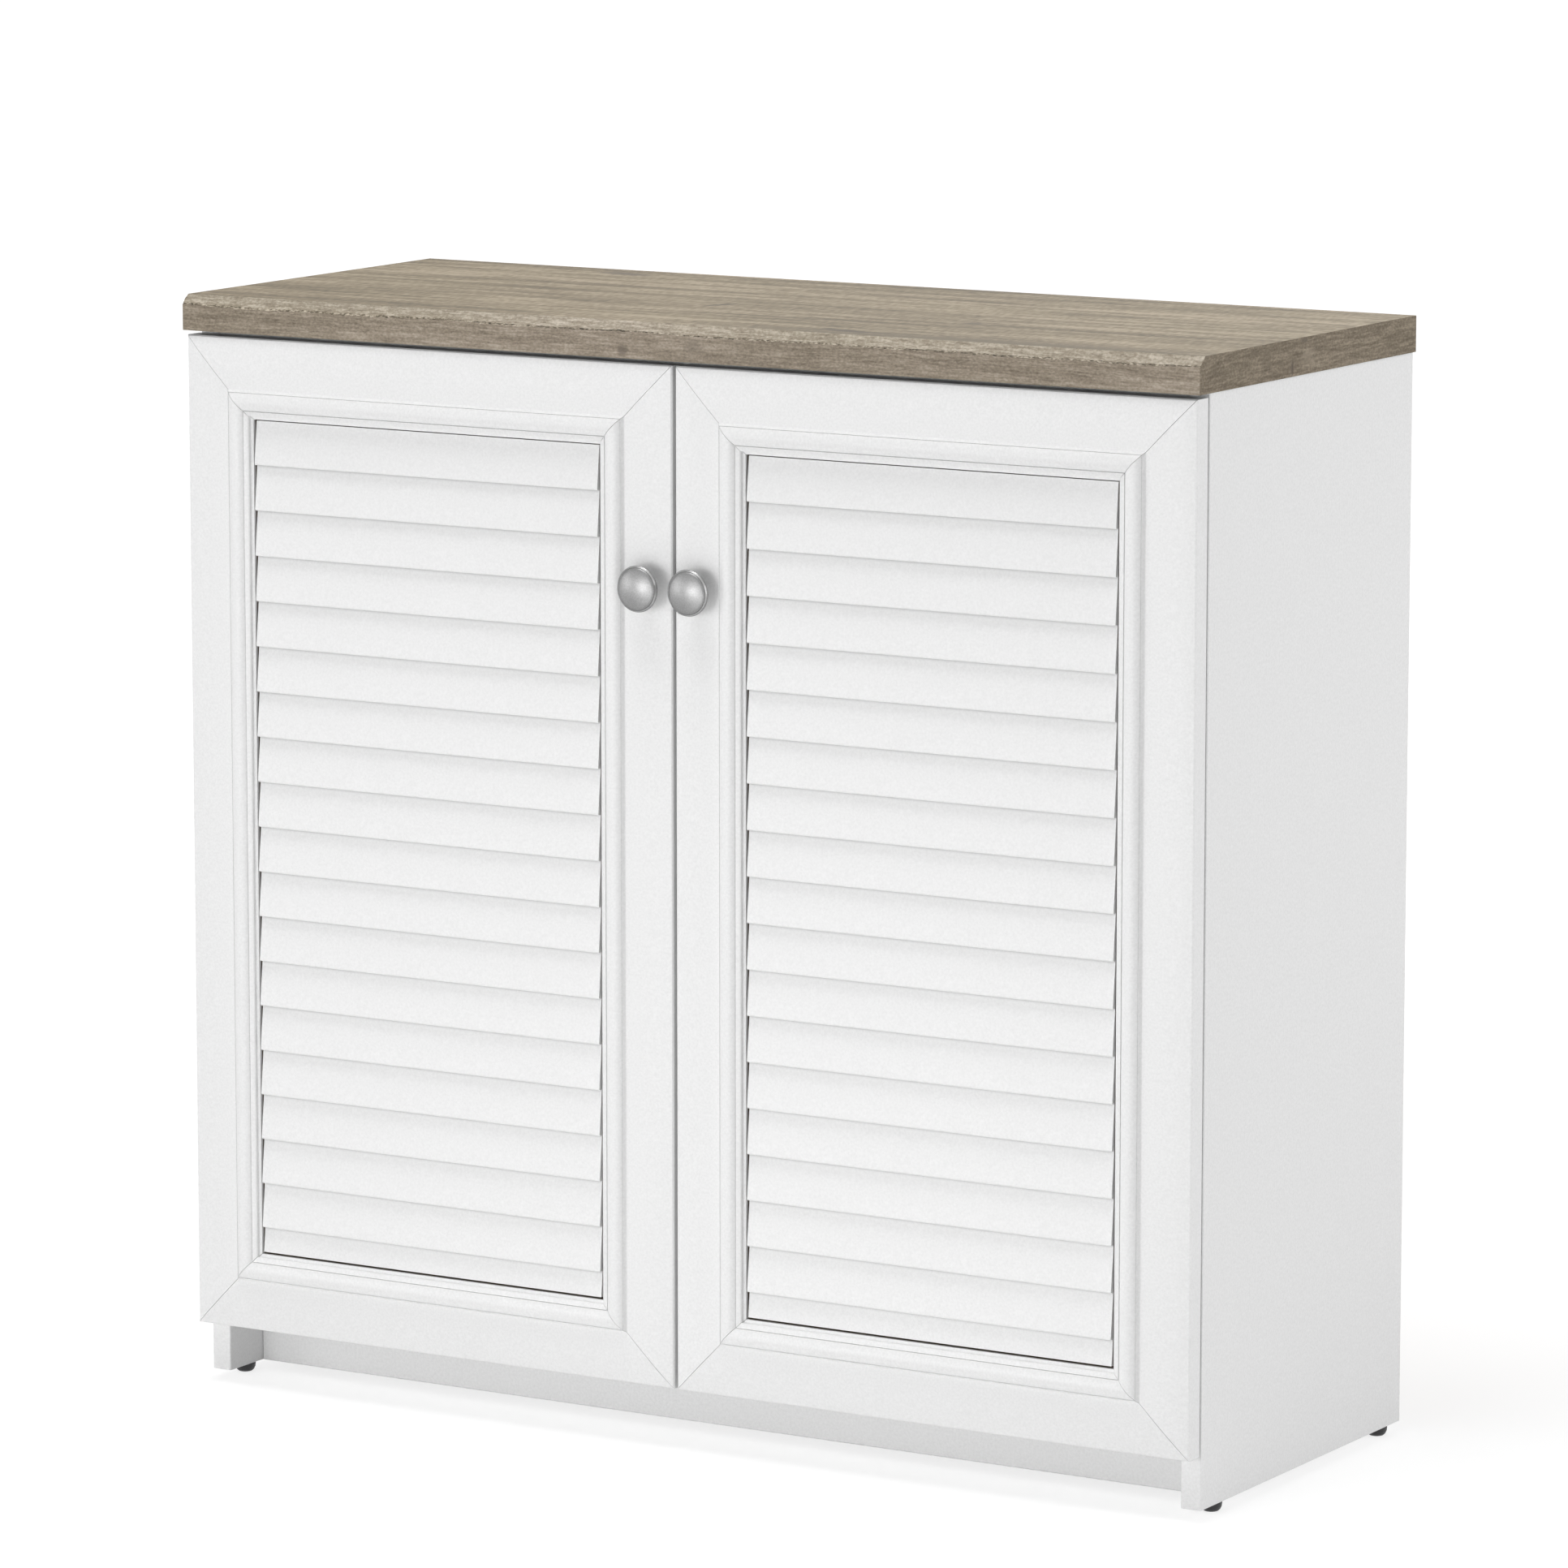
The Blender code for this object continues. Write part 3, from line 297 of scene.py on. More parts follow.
def worn_mark(tree, place, centre, half, turn):
    """How much of a mark shows: 1 in the middle of its ragged oval, 0 outside it."""
    spot = add_node(
        tree,
        "ShaderNodeMapping",
        {"vector_type": "TEXTURE"},
        {"Vector": place, "Location": centre, "Rotation": (0, 0, turn), "Scale": half},
    )
    away = add_node(
        tree, "ShaderNodeVectorMath", {"operation": "LENGTH"}, {0: spot.outputs["Vector"]}
    )
    rag = patches(tree, (6 * MM, 3 * MM, 3 * MM), 3, 0.7, place)
    torn = add_node(
        tree,
        "ShaderNodeMath",
        {"operation": "MULTIPLY_ADD"},
        {0: rag.outputs["Fac"], 1: MARK_RAG, 2: away.outputs["Value"]},
    )
    start, end = MARK_EDGE
    return add_node(
        tree,
        "ShaderNodeMapRange",
        {"interpolation_type": "SMOOTHSTEP"},
        {"Value": torn.outputs["Value"], "From Min": start, "From Max": end},
    ).outputs["Result"]


def grain_cell(run, along, across):
    """A patch that is long along the grain, which runs along X or Y."""
    return (along, across, across) if run == "X" else (across, along, across)


def streaks(tree, run, place, grain):
    """How light the print is: one layer of streaks upon another, one for each row of grain."""
    figure = 0.5 - sum(share for _, _, _, share in grain) / 2
    for along, across, detail, share in grain:
        layer = patches(tree, grain_cell(run, along, across), detail, 0.6, place)
        figure = add_node(
            tree,
            "ShaderNodeMath",
            {"operation": "MULTIPLY_ADD"},
            {0: layer.outputs["Fac"], 1: share, 2: figure},
        ).outputs["Value"]
    return figure


def with_highlight_flecks(tree, run, place, tone, flecks):
    """The tone with pale flecks, chip marks and painted highlights both, as strong as flecks says.
    """
    fleck_noise = patches(tree, grain_cell(run, *HIGHLIGHT_FLECK_CELL), 3, 0.7, place)
    shown = add_node(
        tree,
        "ShaderNodeMapRange",
        inputs={
            "Value": fleck_noise.outputs["Fac"],
            "From Min": 0.52,
            "From Max": 0.64,
            "To Max": flecks,
        },
    )
    return add_node(
        tree,
        "ShaderNodeMix",
        {"data_type": "RGBA"},
        {0: shown.outputs["Result"], 6: tone, 7: srgb(HIGHLIGHT_FLECK_TONE)},
    ).outputs[2]


def marked(tree, place, tone, marks):
    """The tone with worn marks in it.

    Each row gives a mark's centre, half size, turn about the vertical, tone and strength.
    """
    for centre, half, turn, mark_tone, strength in marks:
        shown = add_node(
            tree,
            "ShaderNodeMath",
            {"operation": "MULTIPLY"},
            {0: worn_mark(tree, place, centre, half, turn), 1: strength},
        )
        tone = add_node(
            tree,
            "ShaderNodeMix",
            {"data_type": "RGBA"},
            {0: shown.outputs["Value"], 6: tone, 7: srgb(mark_tone)},
        ).outputs[2]
    return tone


def weathered_oak(name, run, tones, grain, flecks=0, marks=()):
    """Weathered-oak laminate: printed paper, embossed along the printed grain and left matt.

    The eye sees long soft streaks of beige and grey-brown, fine fibres that run with them, the
    grit of the emboss and now and then a crack or a knot. The grain sways a little.
    """
    material, tree = new_material(name)
    place = add_node(tree, "ShaderNodeTexCoord").outputs["Object"]
    sway = patches(tree, grain_cell(run, *SWAY_CELL), 2, 0.5, place)
    swayed = add_node(
        tree,
        "ShaderNodeVectorMath",
        {"operation": "MULTIPLY_ADD"},
        {0: sway.outputs["Color"], 1: grain_cell(run, 0, SWAY), 2: place},
    ).outputs["Vector"]
    dark, middle, light = tones
    tone = add_node(
        tree,
        "ShaderNodeValToRGB",
        inputs={"Fac": streaks(tree, run, swayed, grain)},
        stops=((0, dark), (0.5, middle), (1, light)),
    ).outputs["Color"]
    tint = patches(tree, grain_cell(run, *TINT_CELL), 1, 0.5, swayed)
    shade = add_node(
        tree,
        "ShaderNodeValToRGB",
        inputs={"Fac": tint.outputs["Fac"]},
        stops=((0.42, "FFFFFF"), (0.62, "F3F3F0")),
    )
    tone = add_node(
        tree,
        "ShaderNodeMix",
        {"data_type": "RGBA", "blend_type": "MULTIPLY"},
        {0: 1.0, 6: tone, 7: shade.outputs["Color"]},
    ).outputs[2]
    # Pale flecks: chip marks, and painted highlights
    if flecks:
        tone = with_highlight_flecks(tree, run, place, tone, flecks)
    tone = marked(tree, place, tone, marks)
    fibres = patches(tree, grain_cell(run, *FIBRE_CELL), 2, 0.6, swayed)
    emboss = add_node(
        tree,
        "ShaderNodeBump",
        inputs={"Height": fibres.outputs["Fac"], "Strength": 0.35, "Distance": 0.2 * MM},
    )
    finish_surface(
        tree,
        {
            "Base Color": tone,
            "Roughness": 0.62,
            "Specular IOR Level": 0.35,
            "Normal": emboss.outputs["Normal"],
        },
    )
    return material


def worktop_materials():
    """A print with its own tones, grain and marks for each face of the worktop.

    The marks' half size of 1 metre across a face lets them reach through the board.
    """
    low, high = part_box("worktop")
    top_marks = (
        ((0.1237, -0.1235, high.z), (0.031, 0.009, 1), -0.245, "4A4034", 0.95),
        ((-0.0413, -0.0164, high.z), (0.020, 0.0045, 1), 1.09, "4A4034", 0.95),
        ((0.1715, -0.0378, high.z), (0.009, 0.010, 1), 0, "5E5345", 0.8),
        ((-0.2166, 0.1386, high.z), (0.031, 0.011, 1), -0.198, "61574A", 0.85),
        ((0.23, -0.137, high.z), (0.26, 0.024, 1), 0, "665B48", 0.85),
    )
    front_marks = (
        ((-0.0396, low.y, 0.7615), (0.005, 1, 0.006), 0, "62584D", 0.75),
        ((0.0169, low.y, 0.7677), (0.008, 1, 0.006), 0, "736A5F", 0.4),
    )
    end_marks = (
        ((high.x, 0.005, 0.7684), (1, 0.013, 0.007), 0, "9C917F", 0.4),
        ((high.x, -0.0175, 0.7621), (1, 0.0022, 0.0065), 0, "4A4137", 0.8),
        ((high.x, 0, 0.7794), (1, 0.007, 0.002), 0, "5A5044", 0.7),
    )
    return {
        TOP: weathered_oak("weathered_oak_top", "X", TOP_TONES, TOP_GRAIN, 0, top_marks),
        BEVEL: weathered_oak("weathered_oak_bevel", "X", BEVEL_TONES, BEVEL_GRAIN, BEVEL_FLECKS),
        FRONT: weathered_oak(
            "weathered_oak_front", "X", FRONT_TONES, FRONT_GRAIN, FRONT_FLECKS, front_marks
        ),
        END: weathered_oak("weathered_oak_end", "Y", END_TONES, END_GRAIN, 0, end_marks),
        TORN_EDGE: weathered_oak("weathered_oak_torn_edge", "X", TORN_TONES, TORN_GRAIN),
        UNDERSIDE: backing_paper_as_gap_shade(),
    }


def backing_paper_as_gap_shade():
    """Resin-soaked kraft paper that balances the laminate from below: dull and blotchy."""
    # Painted shade: the paper is drawn dark so that the gap between the worktop and the doors stays
    # dark
    return mottled(
        "kraft_backing_paper_as_gap_shade",
        ((14 * MM, 9 * MM, 9 * MM), 4, 0.65),
        ("292521", "3A342E"),
        (0.2, 0.1 * MM),
        {"Roughness": 0.6},
    )


def white_melamine():
    """Melamine-faced chipboard, pressed with a pearl texture: white, satin, faintly grainy.

    Real pearls are about 0.6 mm across, and they are drawn three times as wide so that they show.
    """
    return mottled(
        "white_melamine_board",
        ((1.9 * MM, 1.9 * MM, 1.9 * MM), 2, 0.6),
        ("E6E6E6", "F0F0F0"),
        (0.2, 0.06 * MM),
        {"Roughness": 0.45},
    )


def bare_grooves_as_reveal_shade(tree, place):
    """1 in the louvred panels' grooves in both doors, bare board that is also painted shade; else
    0.
    """
    low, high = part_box("right_door_louvre_panel")
    groove = (
        (low.x - CORE_REACH, high.x + CORE_REACH),
        (low.y + CORE_SETBACK, high.y - CORE_REACH),
        (low.z - CORE_REACH, high.z - CORE_TOP),
    )
    parts = add_node(tree, "ShaderNodeSeparateXYZ", inputs={"Vector": place})
    mirrored = add_node(
        tree, "ShaderNodeMath", {"operation": "ABSOLUTE"}, {0: parts.outputs["X"]}
    )
    bare = 1.0
    for spot, (start, end) in zip((mirrored.outputs["Value"], *parts.outputs[1:3]), groove):
        inside = add_node(
            tree,
            "ShaderNodeMath",
            {"operation": "COMPARE"},
            {0: spot, 1: (start + end) / 2, 2: (end - start) / 2},
        )
        bare = add_node(
            tree, "ShaderNodeMath", {"operation": "MULTIPLY"}, {0: inside.outputs["Value"], 1: bare}
        ).outputs["Value"]
    return bare


def painted_corner_shade(tree, reach, opening, shade):
    """How much painted shade the foil gets: shade in a closed corner, none above the opening."""
    corner = add_node(
        tree,
        "ShaderNodeAmbientOcclusion",
        {"samples": CORNER_SAMPLES, "only_local": True},
        {"Distance": reach},
    )
    return add_node(
        tree,
        "ShaderNodeMapRange",
        {"interpolation_type": "SMOOTHSTEP"},
        {
            "Value": corner.outputs["AO"],
            "From Min": CORNER_CLOSED,
            "From Max": opening,
            "To Min": shade,
            "To Max": 0.0,
        },
    ).outputs["Result"]


def foil_wrapped_fibreboard(name, corners):
    """Fibreboard mouldings wrapped in white foil: satin, with a fine grain like sprayed paint.

    The foil doesn't reach into the grooves that hold the louvred panels, or round the cut edges
    of the panels, so dark bare board shows deep in the reveals, and its dark brown is painted shade
    there too. Sharp inner corners, such as under the louvres, get a fine grey line of painted
    shade.
    """
    material, tree = new_material(name)
    place = add_node(tree, "ShaderNodeTexCoord").outputs["Object"]
    grain = patches(tree, (1.7 * MM, 1.7 * MM, 1.7 * MM), 3, 0.6, place)
    foil = add_node(
        tree,
        "ShaderNodeValToRGB",
        inputs={"Fac": grain.outputs["Fac"]},
        stops=((0.3, "E6E6E6"), (0.7, "F0F0F0")),
    )
    # Bare board for the grooves: its dark brown is also painted shade in the reveals
    fibres = patches(tree, (2.5 * MM, 1.0 * MM, 2.5 * MM), 4, 0.7, place)
    board = add_node(
        tree,
        "ShaderNodeValToRGB",
        inputs={"Fac": fibres.outputs["Fac"]},
        stops=((0.3, "5C4A38"), (0.7, "7A644C")),
    )
    # Painted shade: grey drawn into the foil's sharp inner corners
    corner_shaded = add_node(
        tree,
        "ShaderNodeMix",
        {"data_type": "RGBA"},
        {
            0: painted_corner_shade(tree, *corners),
            6: foil.outputs["Color"],
            7: srgb(CORNER_SHADE_TONE),
        },
    )
    tone = add_node(
        tree,
        "ShaderNodeMix",
        {"data_type": "RGBA"},
        {0: bare_grooves_as_reveal_shade(tree, place), 6: corner_shaded.outputs[2], 7: board.outputs["Color"]},
    )
    emboss = add_node(
        tree,
        "ShaderNodeBump",
        inputs={"Height": grain.outputs["Fac"], "Strength": 0.2, "Distance": 0.05 * MM},
    )
    finish_surface(
        tree, {"Base Color": tone.outputs[2], "Roughness": 0.4, "Normal": emboss.outputs["Normal"]}
    )
    return material


def satin_nickel(name, tones, roughness):
    """Die-cast zinc with satin nickel plating, blasted before it is plated.

    The eye sees a soft grey with wide highlights and a very fine sparkle. On the chamfer round
    The chamfer round the face gets a smoother copy whose lighter tone is a painted highlight.
    """
    return mottled(
        name,
        ((0.9 * MM, 0.9 * MM, 0.9 * MM), 3, 0.7),
        tones,
        (0.25, 0.04 * MM),
        {"Metallic": 1.0, "Roughness": roughness},
    )


def bright_nickel():
    """Pressed steel with bright nickel plating: clear reflections that waver with the pressing."""
    return mottled(
        "bright_nickel_on_steel",
        ((6 * MM, 6 * MM, 6 * MM), 2, 0.5),
        ("A2A3A5", "B6B7B8"),
        (0.15, 0.2 * MM),
        {"Metallic": 1.0, "Roughness": 0.2},
    )


def zinc_plating():
    """Zinc-plated steel for screws and nails: pale blue-grey, cloudy, half matt."""
    return mottled(
        "zinc_plated_steel",
        ((1.6 * MM, 1.6 * MM, 1.6 * MM), 3, 0.6),
        ("8F9296", "AEB0B3"),
        None,
        {"Metallic": 1.0, "Roughness": 0.36},
    )


def black_polythene():
    """Moulded polythene glides: near black, with the dull sheen of a spark-eroded mould."""
    return mottled(
        "black_moulded_polythene",
        ((0.6 * MM, 0.6 * MM, 0.6 * MM), 2, 0.5),
        ("1C1C1E", "2A2A2C"),
        (0.3, 0.05 * MM),
        {"Roughness": 0.42},
    )


def clear_polyurethane():
    """Cast polyurethane bumpers: milky clear domes with a soft gloss."""
    return mottled(
        "clear_polyurethane",
        ((3 * MM, 3 * MM, 3 * MM), 2, 0.5),
        ("D6D9DA", "E6E8E8"),
        None,
        {"Roughness": 0.2, "IOR": 1.5, "Transmission Weight": 0.5},
    )


def hardboard():
    """Hardboard: brown pressed fibres on the outside, white paint on the inside of the cabinet."""
    material, tree = new_material("hardboard_painted_inside")
    fibres = patches(tree, (6 * MM, 6 * MM, 1.4 * MM), 5, 0.7)
    brown, white = (
        add_node(
            tree, "ShaderNodeValToRGB", inputs={"Fac": fibres.outputs["Fac"]}, stops=stops
        ).outputs["Color"]
        for stops in (
            ((0.3, "80603F"), (0.5, "94724F"), (0.7, "A78862")),
            ((0.3, "E2E2E0"), (0.7, "EBEBE9")),
        )
    )
    facing = add_node(tree, "ShaderNodeTexCoord")
    parts = add_node(tree, "ShaderNodeSeparateXYZ", inputs={"Vector": facing.outputs["Normal"]})
    outward = add_node(
        tree, "ShaderNodeMath", {"operation": "GREATER_THAN"}, {0: parts.outputs["Y"], 1: 0.5}
    )
    tone = add_node(
        tree,
        "ShaderNodeMix",
        {"data_type": "RGBA"},
        {0: outward.outputs["Value"], 6: white, 7: brown},
    )
    press = add_node(
        tree,
        "ShaderNodeBump",
        inputs={"Height": fibres.outputs["Fac"], "Strength": 0.3, "Distance": 0.1 * MM},
    )
    finish_surface(
        tree, {"Base Color": tone.outputs[2], "Roughness": 0.6, "Normal": press.outputs["Normal"]}
    )
    return material


def background_ray(tree):
    """1 for the rays that show the surroundings: to the camera, off gloss and through glass."""
    path = add_node(tree, "ShaderNodeLightPath")
    seen = path.outputs["Is Camera Ray"]
    for kind in ("Is Glossy Ray", "Is Transmission Ray"):
        seen = add_node(
            tree, "ShaderNodeMath", {"operation": "MAXIMUM"}, {0: seen, 1: path.outputs[kind]}
        ).outputs["Value"]
    return seen


def add_floor():
    """A floor that keeps a light shadow round the cabinet and is plain white beyond it."""
    bpy.ops.mesh.primitive_circle_add(vertices=FLOOR_SIDES, radius=FLOOR_RADIUS, fill_type="NGON")
    floor = bpy.context.object
    floor.name = "studio_floor"
    material, tree = new_material("matt_white_floor")
    paper = add_node(tree, "ShaderNodeBsdfDiffuse", inputs={"Color": srgb(FLOOR_PAPER)})
    shade = add_node(tree, "ShaderNodeBsdfDiffuse", inputs={"Color": srgb(FLOOR_SHADOW_TONE)})
    place = add_node(tree, "ShaderNodeTexCoord").outputs["Object"]
    away = add_node(tree, "ShaderNodeVectorMath", {"operation": "LENGTH"}, {0: place})
    near, far = SHADOW_REACH
    strength = add_node(
        tree,
        "ShaderNodeMapRange",
        inputs={
            "Value": away.outputs["Value"],
            "From Min": near,
            "From Max": far,
            "To Min": FLOOR_GLOW,
            "To Max": 1.0,
        },
    )
    glow = add_node(
        tree,
        "ShaderNodeEmission",
        inputs={"Color": (1, 1, 1, 1), "Strength": strength.outputs["Result"]},
    )
    seen = add_node(
        tree, "ShaderNodeAddShader", inputs={0: shade.outputs["BSDF"], 1: glow.outputs["Emission"]}
    )
    mixed = add_node(
        tree,
        "ShaderNodeMixShader",
        inputs={0: background_ray(tree), 1: paper.outputs["BSDF"], 2: seen.outputs["Shader"]},
    )
    add_node(tree, "ShaderNodeOutputMaterial", inputs={"Surface": mixed.outputs["Shader"]})
    floor.data.materials.append(material)


def add_world():
    """A white studio: seen as plain white, and dimmer as light."""
    world = bpy.data.worlds.new("studio")
    bpy.context.scene.world = world
    world.use_nodes = True
    tree = world.node_tree
    tree.nodes.clear()
    dim, white = (
        add_node(
            tree, "ShaderNodeBackground", inputs={"Color": (1, 1, 1, 1), "Strength": strength}
        ).outputs["Background"]
        for strength in (SKY_LIGHT, 1.0)
    )
    mixed = add_node(
        tree, "ShaderNodeMixShader", inputs={0: background_ray(tree), 1: dim, 2: white}
    )
    add_node(tree, "ShaderNodeOutputWorld", inputs={"Surface": mixed.outputs["Shader"]})


def add_lamp(name, place, aim, size, power):
    """A square softbox that points at a spot of the cabinet."""
    lamp = bpy.data.lights.new(name, "AREA")
    lamp.shape = "SQUARE"
    lamp.size = size
    lamp.energy = power
    holder = bpy.data.objects.new(name, lamp)
    bpy.context.scene.collection.objects.link(holder)
    holder.location = place
    holder.rotation_euler = (Vector(aim) - Vector(place)).to_track_quat("-Z", "Y").to_euler()
    holder.visible_camera = False


def add_camera():
    """The camera of the photograph, tilted down a little and without shift."""
    camera = bpy.data.cameras.new("camera")
    camera.lens = CAMERA_LENS
    camera.sensor_width = SENSOR_WIDTH
    camera.sensor_fit = "HORIZONTAL"
    camera.clip_end = CAMERA_REACH
    holder = bpy.data.objects.new("camera", camera)
    bpy.context.scene.collection.objects.link(holder)
    holder.location = CAMERA_PLACE
    holder.rotation_euler = (math.pi / 2 - CAMERA_TILT, 0, CAMERA_TURN)
    bpy.context.scene.camera = holder


def new_piece(name, bm, materials, body):
    """Turns finished mesh data into a piece that moves with a body of the frame."""
    bmesh.ops.recalc_face_normals(bm, faces=bm.faces)
    mesh = bpy.data.meshes.new(name)
    bm.to_mesh(mesh)
    bm.free()
    for material in materials:
        mesh.materials.append(material)
    piece = bpy.data.objects.new(name, mesh)
    bpy.context.scene.collection.objects.link(piece)
    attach(piece, body)
    return piece


def bevel_section(x, low, high):
    """The hewn bevel at one place along the worktop, from its lower to its upper edge."""
    wander = EDGE_WANDER * noise.noise(Vector((x / EDGE_WANDER_LENGTH, *WANDER_PATTERN)))
    tear = EDGE_TEAR * noise.noise(Vector((x / EDGE_TEAR_LENGTH, *TEAR_PATTERN)))
    bottom = Vector((x, low.y, high.z - BEVEL_HEIGHT + wander + tear))
    top = Vector((x, low.y + BEVEL_DEPTH + wander / 2, high.z))
    slope = top - bottom
    outward = Vector((0, -slope.z, slope.y)).normalized()
    start, end = SHOULDER_ENDS
    rounding = min(max((start - x) / (start - end), 0), 1)
    points = [bottom]
    for row in range(1, BEVEL_ROWS):
        share = row / BEVEL_ROWS
        up = slope.length * share
        along = x + STROKE_SLANT * up
        place = Vector((along / STROKE_LENGTH, up / STROKE_WIDTH, STROKE_PATTERN))
        stroke = noise.fractal(place, *STROKE_FRACTAL)
        pit = max(noise.noise(Vector((x / PIT_LENGTH, up / PIT_HEIGHT, PIT_PATTERN))), 0)
        cut = STROKE_CUT * (1 + stroke) / 2 + PIT_DEPTH * pit * max(1 - up / PIT_BAND, 0)
        cut *= min(1, STROKE_FADE * (1 - share))
        bulge = SHOULDER_RISE * rounding * math.sin(math.pi * share)
        points.append(bottom + slope * share + outward * (bulge - cut))
    return points + [top]


def hewn_worktop(materials):
    """The worktop with its hand-hewn bevel, in place of the plainer board of the frame.

    Its sections stand along X. Each strip lies between two neighbouring points of the sections,
    from the lower front arris up over the bevel, across the top and back along the underside.
    """
    low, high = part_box("worktop")
    width = high.x - low.x
    columns = round(width / HEWN_STEP)
    bm = bmesh.new()
    sections = []
    for column in range(columns + 1):
        x = low.x + width * column / columns
        section = [
            Vector((x, low.y + ARRIS, low.z)),
            Vector((x, low.y, low.z + ARRIS)),
            *bevel_section(x, low, high),
            Vector((x, high.y - ARRIS, high.z)),
            Vector((x, high.y, high.z - ARRIS)),
            Vector((x, high.y, low.z)),
        ]
        sections.append([bm.verts.new(point) for point in section])
    strips = [FRONT] * 2 + [TORN_EDGE] * TORN_ROWS + [BEVEL] * (BEVEL_ROWS - TORN_ROWS)
    strips += [TOP] * 2 + [FRONT, UNDERSIDE]
    for near, far in zip(sections, sections[1:]):
        for index, strip in enumerate(strips):
            after = (index + 1) % len(strips)
            face = bm.faces.new([near[index], near[after], far[after], far[index]])
            face.smooth = strip in (BEVEL, TORN_EDGE)
            face.material_index = strip
    for end in (sections[0], sections[-1]):
        bm.faces.new(end).material_index = END
    ordered = [materials[strip] for strip in range(len(materials))]
    piece = new_piece("hewn_worktop", bm, ordered, "carcass")
    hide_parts("worktop")


def add_head(bm, seat, outward, radius, height, crossed):
    """A screw or nail head on a face: a low dome, with a cross recess if it is a screw's."""
    outward = Vector(outward)
    side = Vector((0, 0, 1))
    across = outward.cross(side)

    def corner(u, v, up):
        return bm.verts.new(seat + (across * u + side * v) * radius + outward * height * up)

    rings = []
    for reach, up in SCREW_PROFILE:
        turns = [math.tau * index / SCREW_SIDES for index in range(SCREW_SIDES)]
        rings.append([corner(reach * math.cos(turn), reach * math.sin(turn), up) for turn in turns])
    for inner, outer in zip(rings, rings[1:]):
        for index in range(SCREW_SIDES):
            after = (index + 1) % SCREW_SIDES
            bm.faces.new([inner[index], inner[after], outer[after], outer[index]]).smooth = True
    bm.faces.new(rings[0])
    if not crossed:
        bm.faces.new(rings[-1]).smooth = True
        return
    arm = (
        (CROSS_REACH, -CROSS_WIDTH),
        (CROSS_REACH, CROSS_WIDTH),
        (CROSS_WIDTH, CROSS_WIDTH),
    )
    outline = []
    for quarter in range(4):
        cos, sin = round(math.cos(quarter * math.pi / 2)), round(math.sin(quarter * math.pi / 2))
        outline += [(u * cos - v * sin, u * sin + v * cos) for u, v in arm]
    lips = [corner(u, v, 1) for u, v in outline]
    deeps = [corner(u * CROSS_TAPER, v * CROSS_TAPER, 1 - CROSS_DEPTH) for u, v in outline]
    count = len(lips)
    for index in range(count):
        after = (index + 1) % count
        bm.faces.new([lips[index], lips[after], deeps[after], deeps[index]])
    bm.faces.new(deeps)
    edges = []
    for ring in (rings[-1], lips):
        edges += [bm.edges.get((here, there)) for here, there in zip(ring, ring[1:] + ring[:1])]
    bmesh.ops.triangle_fill(bm, use_beauty=True, edges=edges)


def turned_knob(side_name, metal, chamfer_highlight_metal):
    """A cast knob: waisted neck, thin rim, painted-highlight chamfer, fine groove and shallow dome.
    """
    node = side_name + "_knob"
    low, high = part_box(node)
    centre = (low + high) / 2
    rise = (high.y - low.y) / MM - KNOB_DOME_FOOT
    ball = (KNOB_DOME_RADIUS**2 + rise**2) / (2 * rise)
    dome = []
    for ring in range(KNOB_DOME_RINGS):
        radius = KNOB_DOME_RADIUS * (1 - ring / KNOB_DOME_RINGS)
        dome.append((radius, KNOB_DOME_FOOT + rise - ball + math.sqrt(ball**2 - radius**2)))
    profile = KNOB_FOOT + KNOB_UNDERSIDE + KNOB_RIM + KNOB_CHAMFER + KNOB_GROOVE + tuple(dome)
    bm = bmesh.new()
    rings = []
    for radius, height in profile:
        ring = []
        for index in range(KNOB_SIDES):
            turn = math.tau * index / KNOB_SIDES
            x = centre.x + radius * MM * math.cos(turn)
            z = centre.z + radius * MM * math.sin(turn)
            ring.append(bm.verts.new((x, high.y - height * MM, z)))
        rings.append(ring)
    tip = bm.verts.new((centre.x, low.y, centre.z))
    # The chamfer's faces get the lighter metal, a painted highlight
    first_highlighted = len(KNOB_FOOT + KNOB_UNDERSIDE + KNOB_RIM)
    last_highlighted = first_highlighted + len(KNOB_CHAMFER) - 1
    for row, (near, far) in enumerate(zip(rings, rings[1:])):
        for index in range(KNOB_SIDES):
            after = (index + 1) % KNOB_SIDES
            face = bm.faces.new([near[index], near[after], far[after], far[index]])
            face.smooth = True
            face.material_index = 1 if first_highlighted <= row < last_highlighted else 0
    for index in range(KNOB_SIDES):
        bm.faces.new([rings[-1][index], rings[-1][(index + 1) % KNOB_SIDES], tip]).smooth = True
    bm.faces.new(rings[0])
    for (radius, _), ring in zip(profile, rings):
        if radius in KNOB_SHARP_RADII:
            for here, there in zip(ring, ring[1:] + ring[:1]):
                bm.edges.get((here, there)).smooth = False
    metals = [metal, chamfer_highlight_metal]
    piece = new_piece(side_name + "_turned_knob", bm, metals, side_name + "_door")
    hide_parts(node)


